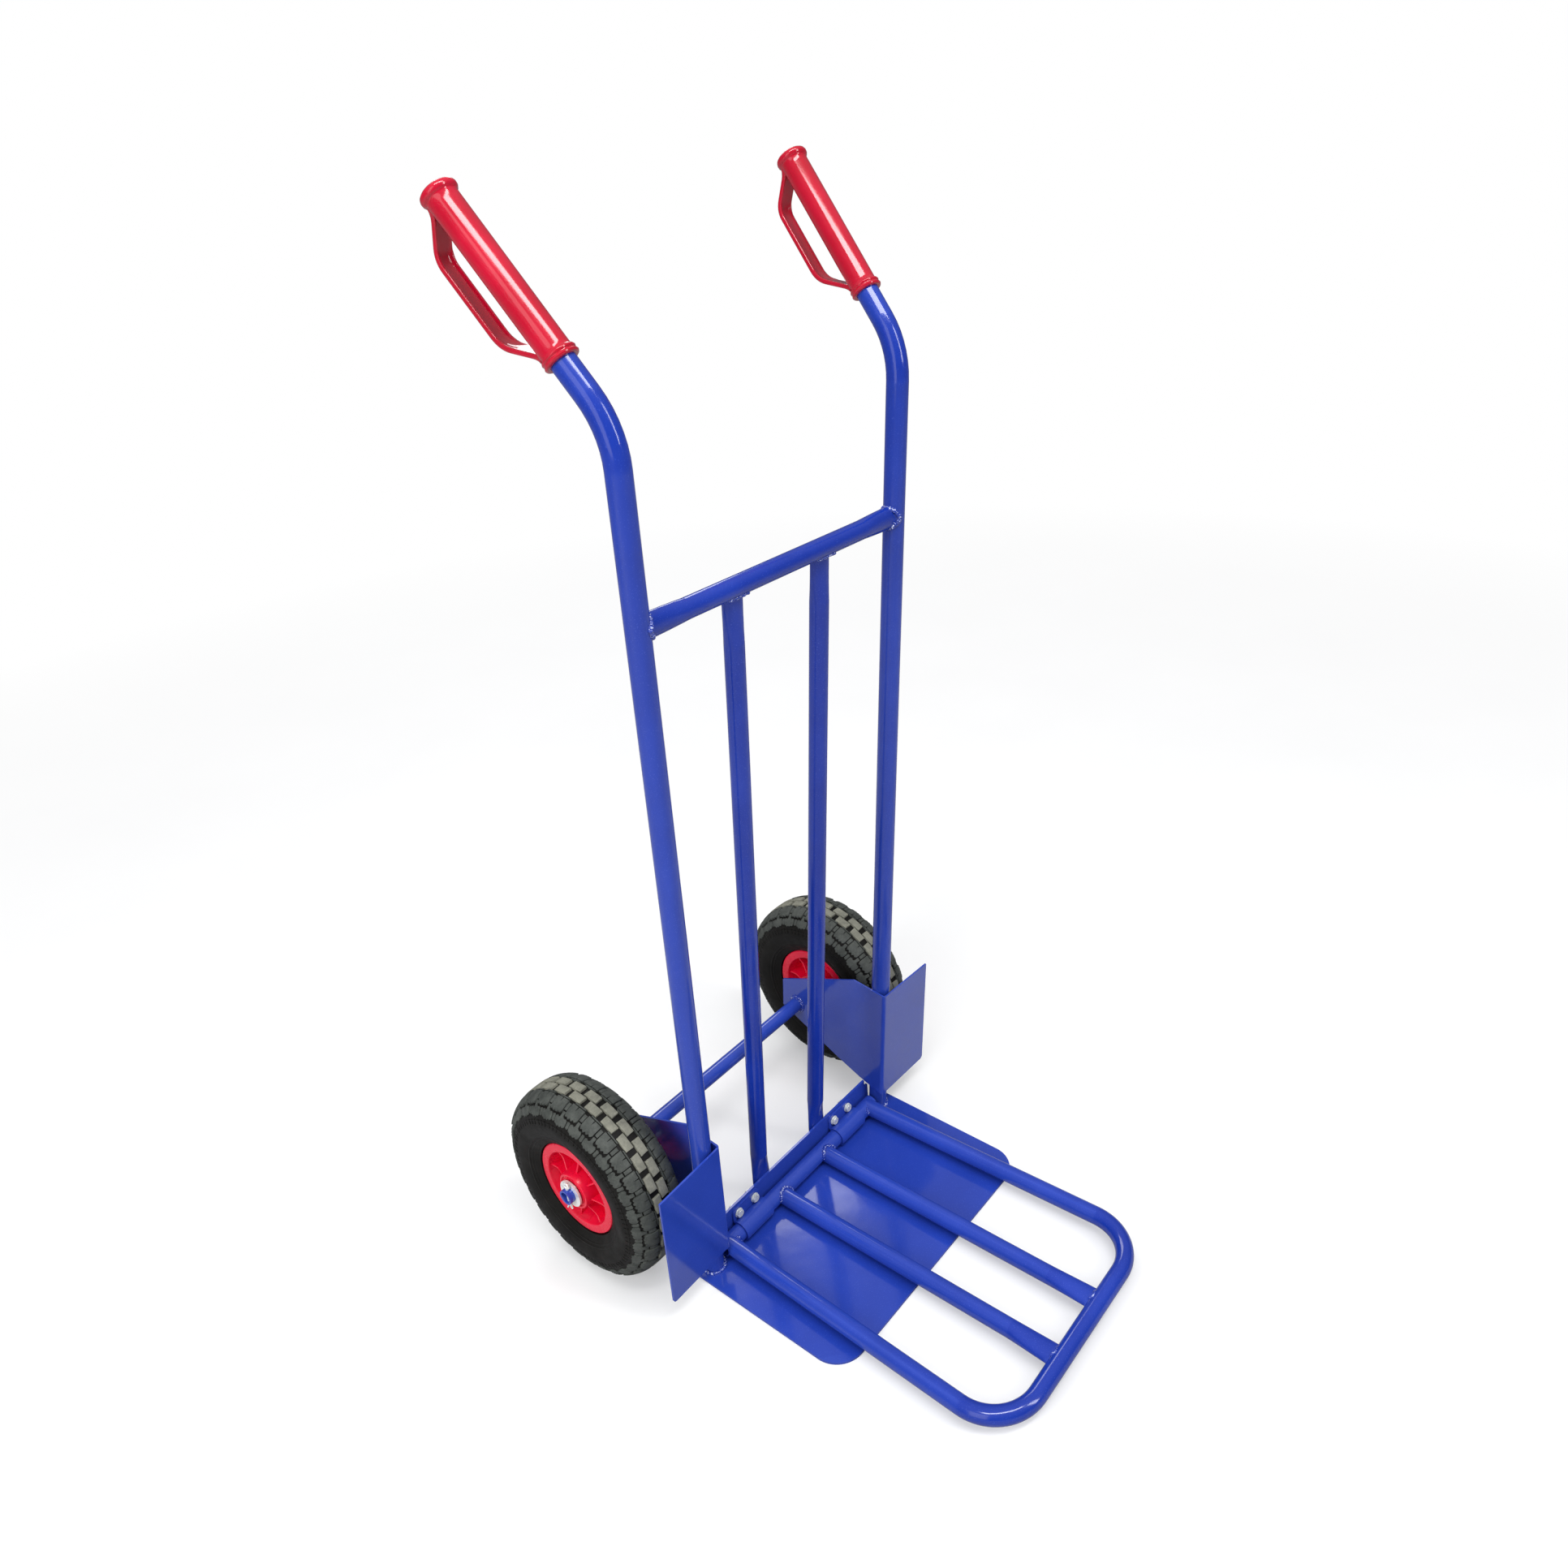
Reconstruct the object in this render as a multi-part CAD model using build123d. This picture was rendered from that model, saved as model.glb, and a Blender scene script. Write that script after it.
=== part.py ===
from build123d import *
import os
from math import sin, cos, tan, atan, radians, degrees, sqrt, pi

# Two-wheeled sack truck with a fold-out toe extension.  Millimetres, +Z up.
# x = 0 is the middle plane, y = 0 is the uprights' axis where they stand on
# the toe plate, z = 0 is the floor.  The load side (toe plate) is -Y, the
# wheels and the operator are +Y.

# ---- main frame -------------------------------------------------------
UPR_D = 25.0            # upright tube outside diameter
UPR_WALL = 1.5
UPR_X = 171.5           # half distance of the upright axes at the floor
UPR_SPLAY = 0.0323      # outward slope of each upright, mm per mm of height
UPR_LEAN = 0.0633       # forward slope of the uprights, mm per mm of height
BEND_Z = 1068.0         # height where upright axis and handle axis cross
BEND_R = 95.0           # centreline radius of the handle bend
HANDLE_TILT = 38.36     # handle axis from vertical, degrees
HANDLE_SPLAY = 0.099    # outward slope of the handle
HANDLE_LEN = 245.0      # bend crossing point to the tube's end
TUBE_D = 22.0           # crossbar, back tubes and toe extension tubes
TUBE_WALL = 1.5
CROSS_Z = 881.0
BACK_TOP_X = 69.5
BACK_LOW_X = 57.0
BACK_LOW_Z = 24.0       # lower end of the flattened tube ends

# ---- toe plate --------------------------------------------------------
PLATE_T = 3.0
PLATE_HALF = 194.4
PLATE_FRONT = -222.8
PLATE_R = 37.0
FLANGE_Y = 10.5         # front face of the turned-up rear flange
FLANGE_TOP = 48.5
FLANGE_HALF = 157.3
FLANGE_STEP_HALF = 164.0  # the flange is wider below the wheel guards
FLANGE_STEP_Z = 37.2

# ---- wheel guards -----------------------------------------------------
GUARD_T = 2.5
GUARD_TOP = 211.0
GUARD_LOW = 38.0
GUARD_OUT = 256.0       # outer edge at the floor, follows the splay
GUARD_FRONT = -17.6     # front face at the floor, follows the lean

# ---- axle and wheels --------------------------------------------------
AXLE_Y = 129.5
AXLE_Z = 130.0
AXLE_D = 20.0
AXLE_WALL = 2.5
AXLE_HALF = 279.5
WHEEL_X = 231.3
TYRE_D = 260.0
TYRE_W = 84.0
RIM_LIP_R = 63.5
RIM_TURN = -14.3        # turn of the rims and valves about the axle
HUB_HALF = 37.5
HUB_OD = 26.0
HUB_CLEAR = 0.05        # radial running clearance on the axle
PIN_X = 274.6
PIN_D = 4.0

# ---- toe extension ----------------------------------------------------
HINGE_Y = -1.5
HINGE_Z = 16.5
HINGE_HALF = 155.8
LEG_X = 145.3           # outer leg axis at the hinge
LEG_FRONT_X = 158.0     # outer leg axis at the front bar
BAR_Y = -417.0
LOOP_R = 60.0
LOOP_Z0 = 17.0          # loop plane at the hinge
LOOP_RISE = 0.0084      # loop plane rises toward the front
INNER_X = 44.5
INNER_Z = 14.3          # inner tube axis at the hinge
INNER_FRONT_Z = 20.3    # inner tube axis near the front bar
STRAP_X = 98.0
STRAP_W = 50.0
STRAP_T = 2.5
STRAP_TOP = 45.0
STRAP_CLEAR = 0.3
BOLT_Z = 35.0
BOLT_DX = 15.0
BOLT_AF = 10.0
BOLT_FLANGE_D = 13.0

# ---- grips ------------------------------------------------------------
GRIP_R = 14.8
GRIP_START = 70.0
GRIP_CAP = 249.0
GUARD_N = 45.0          # knuckle guard distance from the handle axis
GUARD_W = 18.0
GUARD_BAND = 5.0

os.makedirs("parts", exist_ok=True)


def save(name, shape):
    if isinstance(shape, (list, tuple)):
        shape = Compound(children=list(shape))
    export_step(shape, "parts/" + name + ".step")


def norm(v):
    return Vector(*v).normalized()


def rod(a, b, r):
    """Solid cylinder from a to b."""
    a, b = Vector(*a), Vector(*b)
    d = b - a
    return extrude(Plane(origin=a, z_dir=d) * Circle(r), d.length)


def pipe(a, b, r, wall):
    a, b = Vector(*a), Vector(*b)
    d = b - a
    return extrude(Plane(origin=a, z_dir=d) * (Circle(r) - Circle(r - wall)), d.length)


def mirror_x(shape):
    return mirror(shape, about=Plane.YZ)


def ring_section(origin, zdir, xdir, rx, ry):
    return Plane(origin=origin, x_dir=xdir, z_dir=zdir) * Ellipse(rx, ry)


def hollow_loft(sections, wall):
    """Tube lofted through (origin, zdir, xdir, rx, ry) sections."""
    outer = loft([ring_section(*s) for s in sections])
    inner = loft([ring_section(o, z, x, rx - wall, ry - wall) for o, z, x, rx, ry in sections])
    return outer - inner


# ---- directions (right-hand side, +X) ---------------------------------
UP = norm((UPR_SPLAY, -UPR_LEAN, 1.0))
HAND = norm((HANDLE_SPLAY, sin(radians(HANDLE_TILT)), cos(radians(HANDLE_TILT))))
KNEE = Vector(UPR_X + UPR_SPLAY * BEND_Z, -UPR_LEAN * BEND_Z, BEND_Z)


def upright_axis(z):
    return Vector(UPR_X + UPR_SPLAY * z, -UPR_LEAN * z, z)


# ---- uprights ---------------------------------------------------------
def make_upright():
    foot = upright_axis(-6.0)
    end = KNEE + HAND * HANDLE_LEN
    path = FilletPolyline(foot, KNEE, end, radius=BEND_R)
    start = Plane(origin=foot, z_dir=UP)
    tube = sweep(start * Circle(UPR_D / 2), path=path) - sweep(
        start * Circle(UPR_D / 2 - UPR_WALL), path=path
    )
    # the foot is cut flat to stand on the plate
    return tube - Pos(UPR_X, 0, PLATE_T - 25) * Box(80, 80, 50)


upright = make_upright()
save("upright_right", upright)
save("upright_left", mirror_x(upright))

# ---- crossbar, ends a little flattened and cupped to the uprights -----
cross_c = upright_axis(CROSS_Z)
cy = cross_c.Y
hx = cross_c.X
r = TUBE_D / 2
ex = Vector(1, 0, 0)
ey = Vector(0, 1, 0)
end_r = [(hx, 8.6, 13.2), (hx - 26, 8.8, 13.0), (hx - 62, r, r)]


def cross_half(sign, dr):
    secs = [
        (Vector(sign * x, cy, CROSS_Z), ex, ey, a - dr, b - dr) for x, a, b in end_r
    ]
    return loft([ring_section(*s) for s in secs])


def cross_solid(dr):
    mid = rod((-(hx - 62), cy, CROSS_Z), (hx - 62, cy, CROSS_Z), r - dr)
    return cross_half(1, dr) + mid + cross_half(-1, dr)


upr_cut_r = rod(tuple(upright_axis(CROSS_Z - 60)), tuple(upright_axis(CROSS_Z + 60)), UPR_D / 2)
crossbar = cross_solid(0) - cross_solid(TUBE_WALL)
crossbar = crossbar - upr_cut_r - mirror_x(upr_cut_r)
# keep only the middle piece between the uprights
crossbar = crossbar & Box(2 * (hx - 2), 400, 3000)
crossbar = max(crossbar.solids(), key=lambda s: s.volume)
save("crossbar", crossbar)

# ---- back tubes: flattened at both ends -------------------------------
def make_back_tube():
    flat_y = FLANGE_Y + PLATE_T + 4.4           # flattened end lies behind the flange
    low = Vector(BACK_LOW_X, flat_y, BACK_LOW_Z)
    top = Vector(BACK_TOP_X, cy + 3.5, CROSS_Z)
    kick = Vector(BACK_LOW_X + 0.4, flat_y, BACK_LOW_Z + 22)
    full = Vector(BACK_LOW_X + 1.3, 16.5, BACK_LOW_Z + 62)
    d = (top - full).normalized()
    up_full = top - d * 62
    up_flat = top - d * 16
    up = Vector(0, 0, 1)
    secs = [
        (low, up, ex, 15.6, 4.0),
        (kick, up, ex, 15.4, 4.2),
        (full, d, ex, r, r),
    ]
    lower = loft([ring_section(*s) for s in secs])
    lower_in = loft([ring_section(o, z, x, a - TUBE_WALL, b - TUBE_WALL) for o, z, x, a, b in secs])
    mid = rod(tuple(full), tuple(up_full), r)
    mid_in = rod(tuple(full), tuple(up_full), r - TUBE_WALL)
    secs2 = [
        (up_full, d, ex, r, r),
        (up_flat, d, ex, 14.0, 7.0),
        (top, d, ex, 14.6, 6.4),
    ]
    upper = loft([ring_section(*s) for s in secs2])
    upper_in = loft([ring_section(o, z, x, a - TUBE_WALL, b - TUBE_WALL) for o, z, x, a, b in secs2])
    # the upper end is coped round the crossbar
    end = upper - upper_in - rod((-200, cy, CROSS_Z), (200, cy, CROSS_Z), r)
    end = max(end.solids(), key=lambda s: s.volume)
    tube = end + (mid - mid_in) + (lower - lower_in)
    return max(tube.solids(), key=lambda s: s.volume)


back = make_back_tube()
save("back_tube_right", back)
save("back_tube_left", mirror_x(back))

# ---- toe plate with its turned-up rear flange -------------------------
def make_plate():
    back_y = FLANGE_Y + PLATE_T
    sk = Rectangle(2 * PLATE_HALF, back_y - PLATE_FRONT)
    sk = Pos(0, (back_y + PLATE_FRONT) / 2) * sk
    front = [v for v in sk.vertices() if v.Y < 0]
    rear = [v for v in sk.vertices() if v.Y > 0]
    sk = fillet(front, PLATE_R)
    rear = [v for v in sk.vertices() if v.Y > 10]
    sk = fillet(rear, 8)
    flat = extrude(sk, PLATE_T)
    flange = Pos(0, FLANGE_Y + PLATE_T / 2, FLANGE_TOP / 2) * Box(2 * FLANGE_HALF, PLATE_T, FLANGE_TOP)
    low = Pos(0, FLANGE_Y + PLATE_T / 2, FLANGE_STEP_Z / 2) * Box(2 * FLANGE_STEP_HALF, PLATE_T, FLANGE_STEP_Z)
    body = flat + flange + low
    # inside and outside radius of the bend
    try:
        e = body.edges().filter_by(Axis.X).filter_by(
            lambda q: abs(q.center().Y - FLANGE_Y) < 0.1 and abs(q.center().Z - PLATE_T) < 0.1
        )
        body = fillet(e, 3.0)
    except Exception:
        pass
    for sx in (-1, 1):
        for dx in (-BOLT_DX, BOLT_DX):
            x = sx * STRAP_X + dx
            body = body - rod((x, 0, BOLT_Z), (x, 30, BOLT_Z), 3.2)
    return body


plate = make_plate()
save("toe_plate", plate)

# ---- wheel guards: inner panel along the upright, flare in front ------
def make_guard():
    # local frame: origin on the upright axis at the floor, z along the upright
    yaxis = norm((0, 1.0, UPR_LEAN))
    px = norm((1.0, 0, -UPR_SPLAY))
    loc = Plane(origin=upright_axis(0), x_dir=px, z_dir=UP)
    xin = -UPR_D / 2 - GUARD_T        # inner face of the panel
    xo = GUARD_OUT - UPR_X            # outer edge of the flare
    yf = GUARD_FRONT                  # front face of the flare
    ay = AXLE_Y + UPR_LEAN * AXLE_Z   # axle in the local frame
    az = AXLE_Z - UPR_LEAN * AXLE_Y
    top, low = GUARD_TOP, GUARD_LOW
    # inner panel outline in local (y, z)
    pts = [
        (yf, low), (22, 49.0), (60, 62.5), (ay + 27, az - 16), (ay + 27, az + 30), (36, top + 3), (yf, top)
    ]
    panel = Plane(origin=(xin, 0, 0), x_dir=(0, 1, 0), z_dir=(1, 0, 0)) * make_face(
        Polyline(*[(a, b) for a, b in pts], close=True)
    )
    panel = extrude(panel, GUARD_T)
    fl = Plane(origin=(0, yf, 0), x_dir=(1, 0, 0), z_dir=(0, -1, 0)) * make_face(
        Polyline((xin, low), (xo, low), (xo, top - 3), (xin, top), close=True)
    )
    flare = extrude(fl, -GUARD_T)
    body = panel + flare
    try:
        e = body.edges().filter_by(
            lambda q: q.length > 100
            and abs(q.center().X - xin) < 0.2
            and abs(q.center().Y - yf) < 0.2
        )
        body = fillet(e, 4.5)
    except Exception:
        pass
    try:
        e = body.edges().filter_by(
            lambda q: q.length < 4
            and abs(q.center().X - xo) < 0.2
            and q.center().Z < low + 5
        )
        body = fillet(e, 5.0)
    except Exception:
        pass
    body = loc * body
    # hole for the axle
    return body - rod((100, AXLE_Y, AXLE_Z), (220, AXLE_Y, AXLE_Z), AXLE_D / 2 + 0.05)


guard = make_guard()
save("wheel_guard_right", guard)
save("wheel_guard_left", mirror_x(guard))

# ---- axle tube with cross holes for the split pins --------------------
axle = pipe((-AXLE_HALF, AXLE_Y, AXLE_Z), (AXLE_HALF, AXLE_Y, AXLE_Z), AXLE_D / 2, AXLE_WALL)
for s in (-1, 1):
    axle = axle - rod((s * PIN_X, AXLE_Y, AXLE_Z - 20), (s * PIN_X, AXLE_Y, AXLE_Z + 20), PIN_D / 2 + 0.05)
save("axle", axle)


# ---- wheel pieces, made at the origin with the axis along +X ----------
def spin(pts):
    """Revolve a closed (a, r) outline about the X axis."""
    face = make_face(Polyline(*pts, close=True))
    return revolve(face, Axis.X, 360)


def make_tyre():
    # carcass: beads sit inside the rim flanges, sidewalls bulge over them
    out = [(31.6, 64.7), (35.0, 70.5), (39.6, 80.5), (42.0, 94.0), (40.8, 106.0), (36.2, 117.5), (29.0, 124.6), (17.0, 128.8), (0.0, 130.0)]
    inn = [(0.0, 121.5), (20.0, 118.8), (28.0, 112.0), (33.5, 98.0), (33.0, 84.0), (28.5, 73.5), (21.5, 66.5)]
    o = Spline(*out, *[(-a, b) for a, b in reversed(out[:-1])])
    i = Spline(*[(-a, b) for a, b in reversed(inn[1:])], *inn)
    edges = [o, i]
    for s in (1, -1):
        p = [(s * 31.6, 64.7), (s * 26.9, 64.3), (s * 26.7, 57.0), (s * 21.0, 55.4), (s * 21.5, 66.5)]
        edges += [Line(a, b) for a, b in zip(p, p[1:])]
    return revolve(make_face(edges), Axis.X, 360)


VALVE_A = Vector(-9.0, 0, 51.6)         # root of the valve stem, (a, 0, r)
VALVE_D = Vector(-0.5, 0, -0.866)       # it leans toward the wheel's inner side


def make_tube():
    # butyl tube inside the tyre, hollow, with the valve hole in its base
    out = [(0.0, 121.1), (19.6, 118.2), (27.4, 111.6), (32.9, 98.0), (32.4, 84.0), (27.6, 73.6), (20.4, 66.4), (18.6, 58.0), (16.0, 53.4), (9.0, 50.4)]
    inn = [(0.0, 119.3), (18.8, 116.6), (26.0, 110.6), (31.1, 97.8), (30.7, 84.8), (26.4, 75.0), (18.9, 67.4), (16.9, 58.6), (14.8, 54.9), (8.6, 52.1)]
    outer = make_face(Polyline(*out, *[(-a, b) for a, b in reversed(out[1:])], close=True))
    inner = make_face(Polyline(*inn, *[(-a, b) for a, b in reversed(inn[1:])], close=True))
    ring = revolve(outer, Axis.X, 360) - revolve(inner, Axis.X, 360)
    a = VALVE_A - VALVE_D * 4
    return ring - rod(tuple(a), tuple(VALVE_A + VALVE_D * 4), 2.0)


def make_rim_half():
    pts = [
        (0.15, 13.0), (36.0, 13.0), (36.0, 18.8), (34.2, 18.8), (34.2, 21.2), (36.0, 21.2),
        (36.0, 24.2), (8.0, 27.0), (6.0, 43.0), (27.8, 50.3), (31.0, 51.2), (31.0, 62.3),
        (29.6, 63.5), (27.6, 63.5), (27.2, 60.0), (27.0, 56.6), (21.0, 54.9), (19.0, 53.4), (10.0, 49.6), (0.15, 49.6),
    ]
    body = spin(pts)
    ribs = []
    for k in range(8):
        rib = make_face(Polyline((6.0, 22.5), (30.5, 22.5), (27.4, 51.5), (5.0, 45.0), close=True))
        rib = extrude(Plane.XY * rib, 1.7, both=True)
        ribs.append(Rot(k * 45 + 22.5, 0, 0) * rib)
    for rib in ribs:
        body = body + rib
    # clear the boss recess and bore of rib material
    body = body - rod((-1, 0, 0), (60, 0, 0), 13.0)
    return body


def cut_valve(body):
    # slanted valve hole through the barrel wall
    return body - rod(tuple(VALVE_A - VALVE_D * 6), tuple(VALVE_A + VALVE_D * 22), 3.7)


def make_hub_tube():
    return pipe((-HUB_HALF, 0, 0), (HUB_HALF, 0, 0), HUB_OD / 2, HUB_OD / 2 - AXLE_D / 2 - HUB_CLEAR)


def make_valve():
    # valve stem with a bore and a screwed cap, pointing into a rim pocket
    base = VALVE_A + VALVE_D * 2.0
    stem = rod(tuple(base), tuple(base + VALVE_D * 20), 3.2) + rod(
        tuple(base + VALVE_D * 13.5), tuple(base + VALVE_D * 21.5), 4.2
    )
    return stem - rod(tuple(base - VALVE_D), tuple(base + VALVE_D * 18), 1.2)


tyre = make_tyre()
tube = make_tube()
rim_plain = make_rim_half()                          # +a side
rim_plain_m = mirror(rim_plain, about=Plane.YZ)      # -a side
rim_valve_m = cut_valve(rim_plain_m)                 # -a side with the valve hole
rim_valve = mirror(rim_valve_m, about=Plane.YZ)
hub = make_hub_tube()
valve = make_valve()
valve_m = mirror(valve, about=Plane.YZ)
tube_m = mirror(tube, about=Plane.YZ)
place_r = Pos(WHEEL_X, AXLE_Y, AXLE_Z) * Rot(RIM_TURN, 0, 0)
place_l = Pos(-WHEEL_X, AXLE_Y, AXLE_Z) * Rot(RIM_TURN, 0, 0)
for side, place, o_half, i_half, val, tb in (
    ("right", place_r, rim_plain, rim_valve_m, valve, tube),
    ("left", place_l, rim_plain_m, rim_valve, valve_m, tube_m),
):
    save("tyre_" + side, place * tyre)
    save("inner_tube_" + side, place * tb)
    save("rim_outer_half_" + side, place * o_half)
    save("rim_inner_half_" + side, place * i_half)
    save("hub_sleeve_" + side, place * hub)
    save("valve_stem_" + side, place * val)

# ---- washers, spacer and split pin on each axle end -------------------
def disc(x0, x1, ro, ri):
    return pipe((x0, AXLE_Y, AXLE_Z), (x1, AXLE_Y, AXLE_Z), ro, ro - ri)


hub_end = WHEEL_X + HUB_HALF
hub_in = WHEEL_X - HUB_HALF
washer_out = disc(hub_end + 0.3, hub_end + 2.8, 18.0, AXLE_D / 2 + 0.1)
washer_in = disc(hub_in - 2.8, hub_in - 0.3, 18.0, AXLE_D / 2 + 0.1)
x_guard = UPR_X + UPR_SPLAY * AXLE_Z - UPR_D / 2 + 1.2
spacer = disc(x_guard, hub_in - 2.9, 13.0, AXLE_D / 2 + 0.1)
for side, f in (("right", lambda q: q), ("left", mirror_x)):
    save("outer_washer_" + side, f(washer_out))
    save("inner_washer_" + side, f(washer_in))
    save("axle_spacer_" + side, f(spacer))


def make_pin():
    # split pin: round shank, eye above, two opened legs below
    eye_z = AXLE_Z + 15.2
    shank = rod((PIN_X, AXLE_Y, AXLE_Z - 13.5), (PIN_X, AXLE_Y, AXLE_Z + 12.4), PIN_D / 2)
    eye = Pos(PIN_X, AXLE_Y, eye_z) * Rot(0, 90, 0) * Torus(3.6, 1.5)
    leg_a = rod((PIN_X, AXLE_Y, AXLE_Z - 12.6), (PIN_X, AXLE_Y + 5.0, AXLE_Z - 21.5), 1.3)
    leg_b = rod((PIN_X, AXLE_Y, AXLE_Z - 12.6), (PIN_X, AXLE_Y - 4.0, AXLE_Z - 19.0), 1.3)
    return shank + eye + leg_a + leg_b


pin = make_pin()
save("split_pin_right", pin)
save("split_pin_left", mirror_x(pin))

# ---- toe extension: hinge tube, outer loop, two inner tubes ------------
hinge = pipe((-HINGE_HALF, HINGE_Y, HINGE_Z), (HINGE_HALF, HINGE_Y, HINGE_Z), r, TUBE_WALL)
save("ext_hinge_tube", hinge)
hinge_cut = rod((-400, HINGE_Y, HINGE_Z), (400, HINGE_Y, HINGE_Z), r)


def make_loop():
    z = lambda y: LOOP_Z0 - LOOP_RISE * y
    sp = (LEG_FRONT_X - LEG_X) / -BAR_Y
    a = Vector(-LEG_X, 0, z(0))
    b = Vector(-LEG_FRONT_X, BAR_Y, z(BAR_Y))
    c = Vector(LEG_FRONT_X, BAR_Y, z(BAR_Y))
    d = Vector(LEG_X, 0, z(0))
    path = FilletPolyline(a, b, c, d, radius=LOOP_R)
    start = Plane(origin=a, z_dir=(b - a))
    solid = sweep(start * Circle(r), path=path)
    core = sweep(start * Circle(r - TUBE_WALL), path=path)
    loop = solid - core - hinge_cut
    loop = loop - Pos(0, HINGE_Y + 25, HINGE_Z) * Box(400, 50, 60)
    return max(loop.solids(), key=lambda s: s.volume)


loop = make_loop()
save("ext_loop_tube", loop)


def make_inner_leg():
    y0, y1, y2 = -4.0, -352.0, BAR_Y
    bar_z = LOOP_Z0 - LOOP_RISE * BAR_Y
    rear, front_end = Vector(INNER_X, y0, INNER_Z), Vector(INNER_X, y1, INNER_FRONT_Z)
    d = (front_end - rear).normalized()
    secs = [
        (front_end, d, ex, r, r),
        (Vector(INNER_X + 0.5, -388.0, bar_z + 0.2), d, ex, 13.4, 7.4),
        (Vector(INNER_X + 0.8, y2, bar_z), d, ex, 14.6, 6.0),
    ]
    front = loft([ring_section(*s) for s in secs])
    front_in = loft([ring_section(o, z, x, a - TUBE_WALL, b - TUBE_WALL) for o, z, x, a, b in secs])
    leg = rod(tuple(rear), tuple(front_end), r) + front
    leg = leg - rod(tuple(rear), tuple(front_end), r - TUBE_WALL) - front_in
    leg = leg - hinge_cut - rod((-150, BAR_Y, bar_z), (150, BAR_Y, bar_z), r)
    return max(leg.solids(), key=lambda s: s.volume)


leg = make_inner_leg()
save("ext_inner_tube_right", leg)
save("ext_inner_tube_left", mirror_x(leg))

# ---- hinge straps, bolts, washers and nuts ----------------------------
def make_strap():
    ri = r + STRAP_CLEAR
    ro = ri + STRAP_T
    th0, th1 = 46.5, 222.0
    c = Vector(HINGE_Y, HINGE_Z)

    def on(rad, th):
        return (HINGE_Y + rad * cos(radians(th)), HINGE_Z + rad * sin(radians(th)))

    fy = FLANGE_Y - STRAP_T
    arc_o = ThreePointArc(on(ro, th0), on(ro, (th0 + th1) / 2), on(ro, th1))
    arc_i = ThreePointArc(on(ri, th0 - 4), on(ri, (th0 + th1) / 2), on(ri, th1))
    end = Line(on(ro, th1), on(ri, th1))
    o0, i0 = on(ro, th0), on(ri, th0 - 4)
    edges = [
        arc_o, end, arc_i,
        Line(i0, (FLANGE_Y, 27.6)),
        Line((FLANGE_Y, 27.6), (FLANGE_Y, STRAP_TOP)),
        Line((FLANGE_Y, STRAP_TOP), (fy, STRAP_TOP)),
        Line((fy, STRAP_TOP), (fy, o0[1])),
        Line((fy, o0[1]), o0),
    ]
    face = make_face(edges)
    sk = Plane(origin=(STRAP_X - STRAP_W / 2, 0, 0), x_dir=(0, 1, 0), z_dir=(1, 0, 0)) * face
    body = extrude(sk, STRAP_W)
    # rounded upper corners
    try:
        e = body.edges().filter_by(
            lambda q: q.length < STRAP_T + 0.2
            and abs(q.center().Z - STRAP_TOP) < 0.1
            and abs(q.center().Y - (FLANGE_Y - STRAP_T / 2)) < 0.1
        )
        body = fillet(e, 7.0)
    except Exception:
        pass
    for dx in (-BOLT_DX, BOLT_DX):
        body = body - rod((STRAP_X + dx, 0, BOLT_Z), (STRAP_X + dx, 30, BOLT_Z), 3.2)
    return body


strap = make_strap()
save("hinge_strap_right", strap)
save("hinge_strap_left", mirror_x(strap))

bolts, nuts, washers = [], [], []
front_y = FLANGE_Y - STRAP_T
rear_y = FLANGE_Y + PLATE_T
for sx in (-1, 1):
    for dx in (-BOLT_DX, BOLT_DX):
        x = sx * STRAP_X + dx
        pl = lambda y: Plane(origin=(x, y, BOLT_Z), x_dir=(1, 0, 0), z_dir=(0, 1, 0))
        hexa = RegularPolygon(radius=BOLT_AF / 2, side_count=6, major_radius=False)
        head = extrude(pl(front_y - 4.6) * hexa, 4.6) + extrude(pl(front_y - 1.2) * Circle(BOLT_FLANGE_D / 2), 1.2)
        shank = extrude(pl(front_y) * Circle(3.0), rear_y - front_y + 9.5)
        bolts.append(head + shank)
        washers.append(extrude(pl(rear_y) * (Circle(6.0) - Circle(3.2)), 1.6))
        nuts.append(extrude(pl(rear_y + 1.6) * (RegularPolygon(radius=5.0, side_count=6, major_radius=False) - Circle(3.0)), 5.0))
save("strap_bolts", bolts)
save("strap_washers", washers)
save("strap_nuts", nuts)

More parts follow.
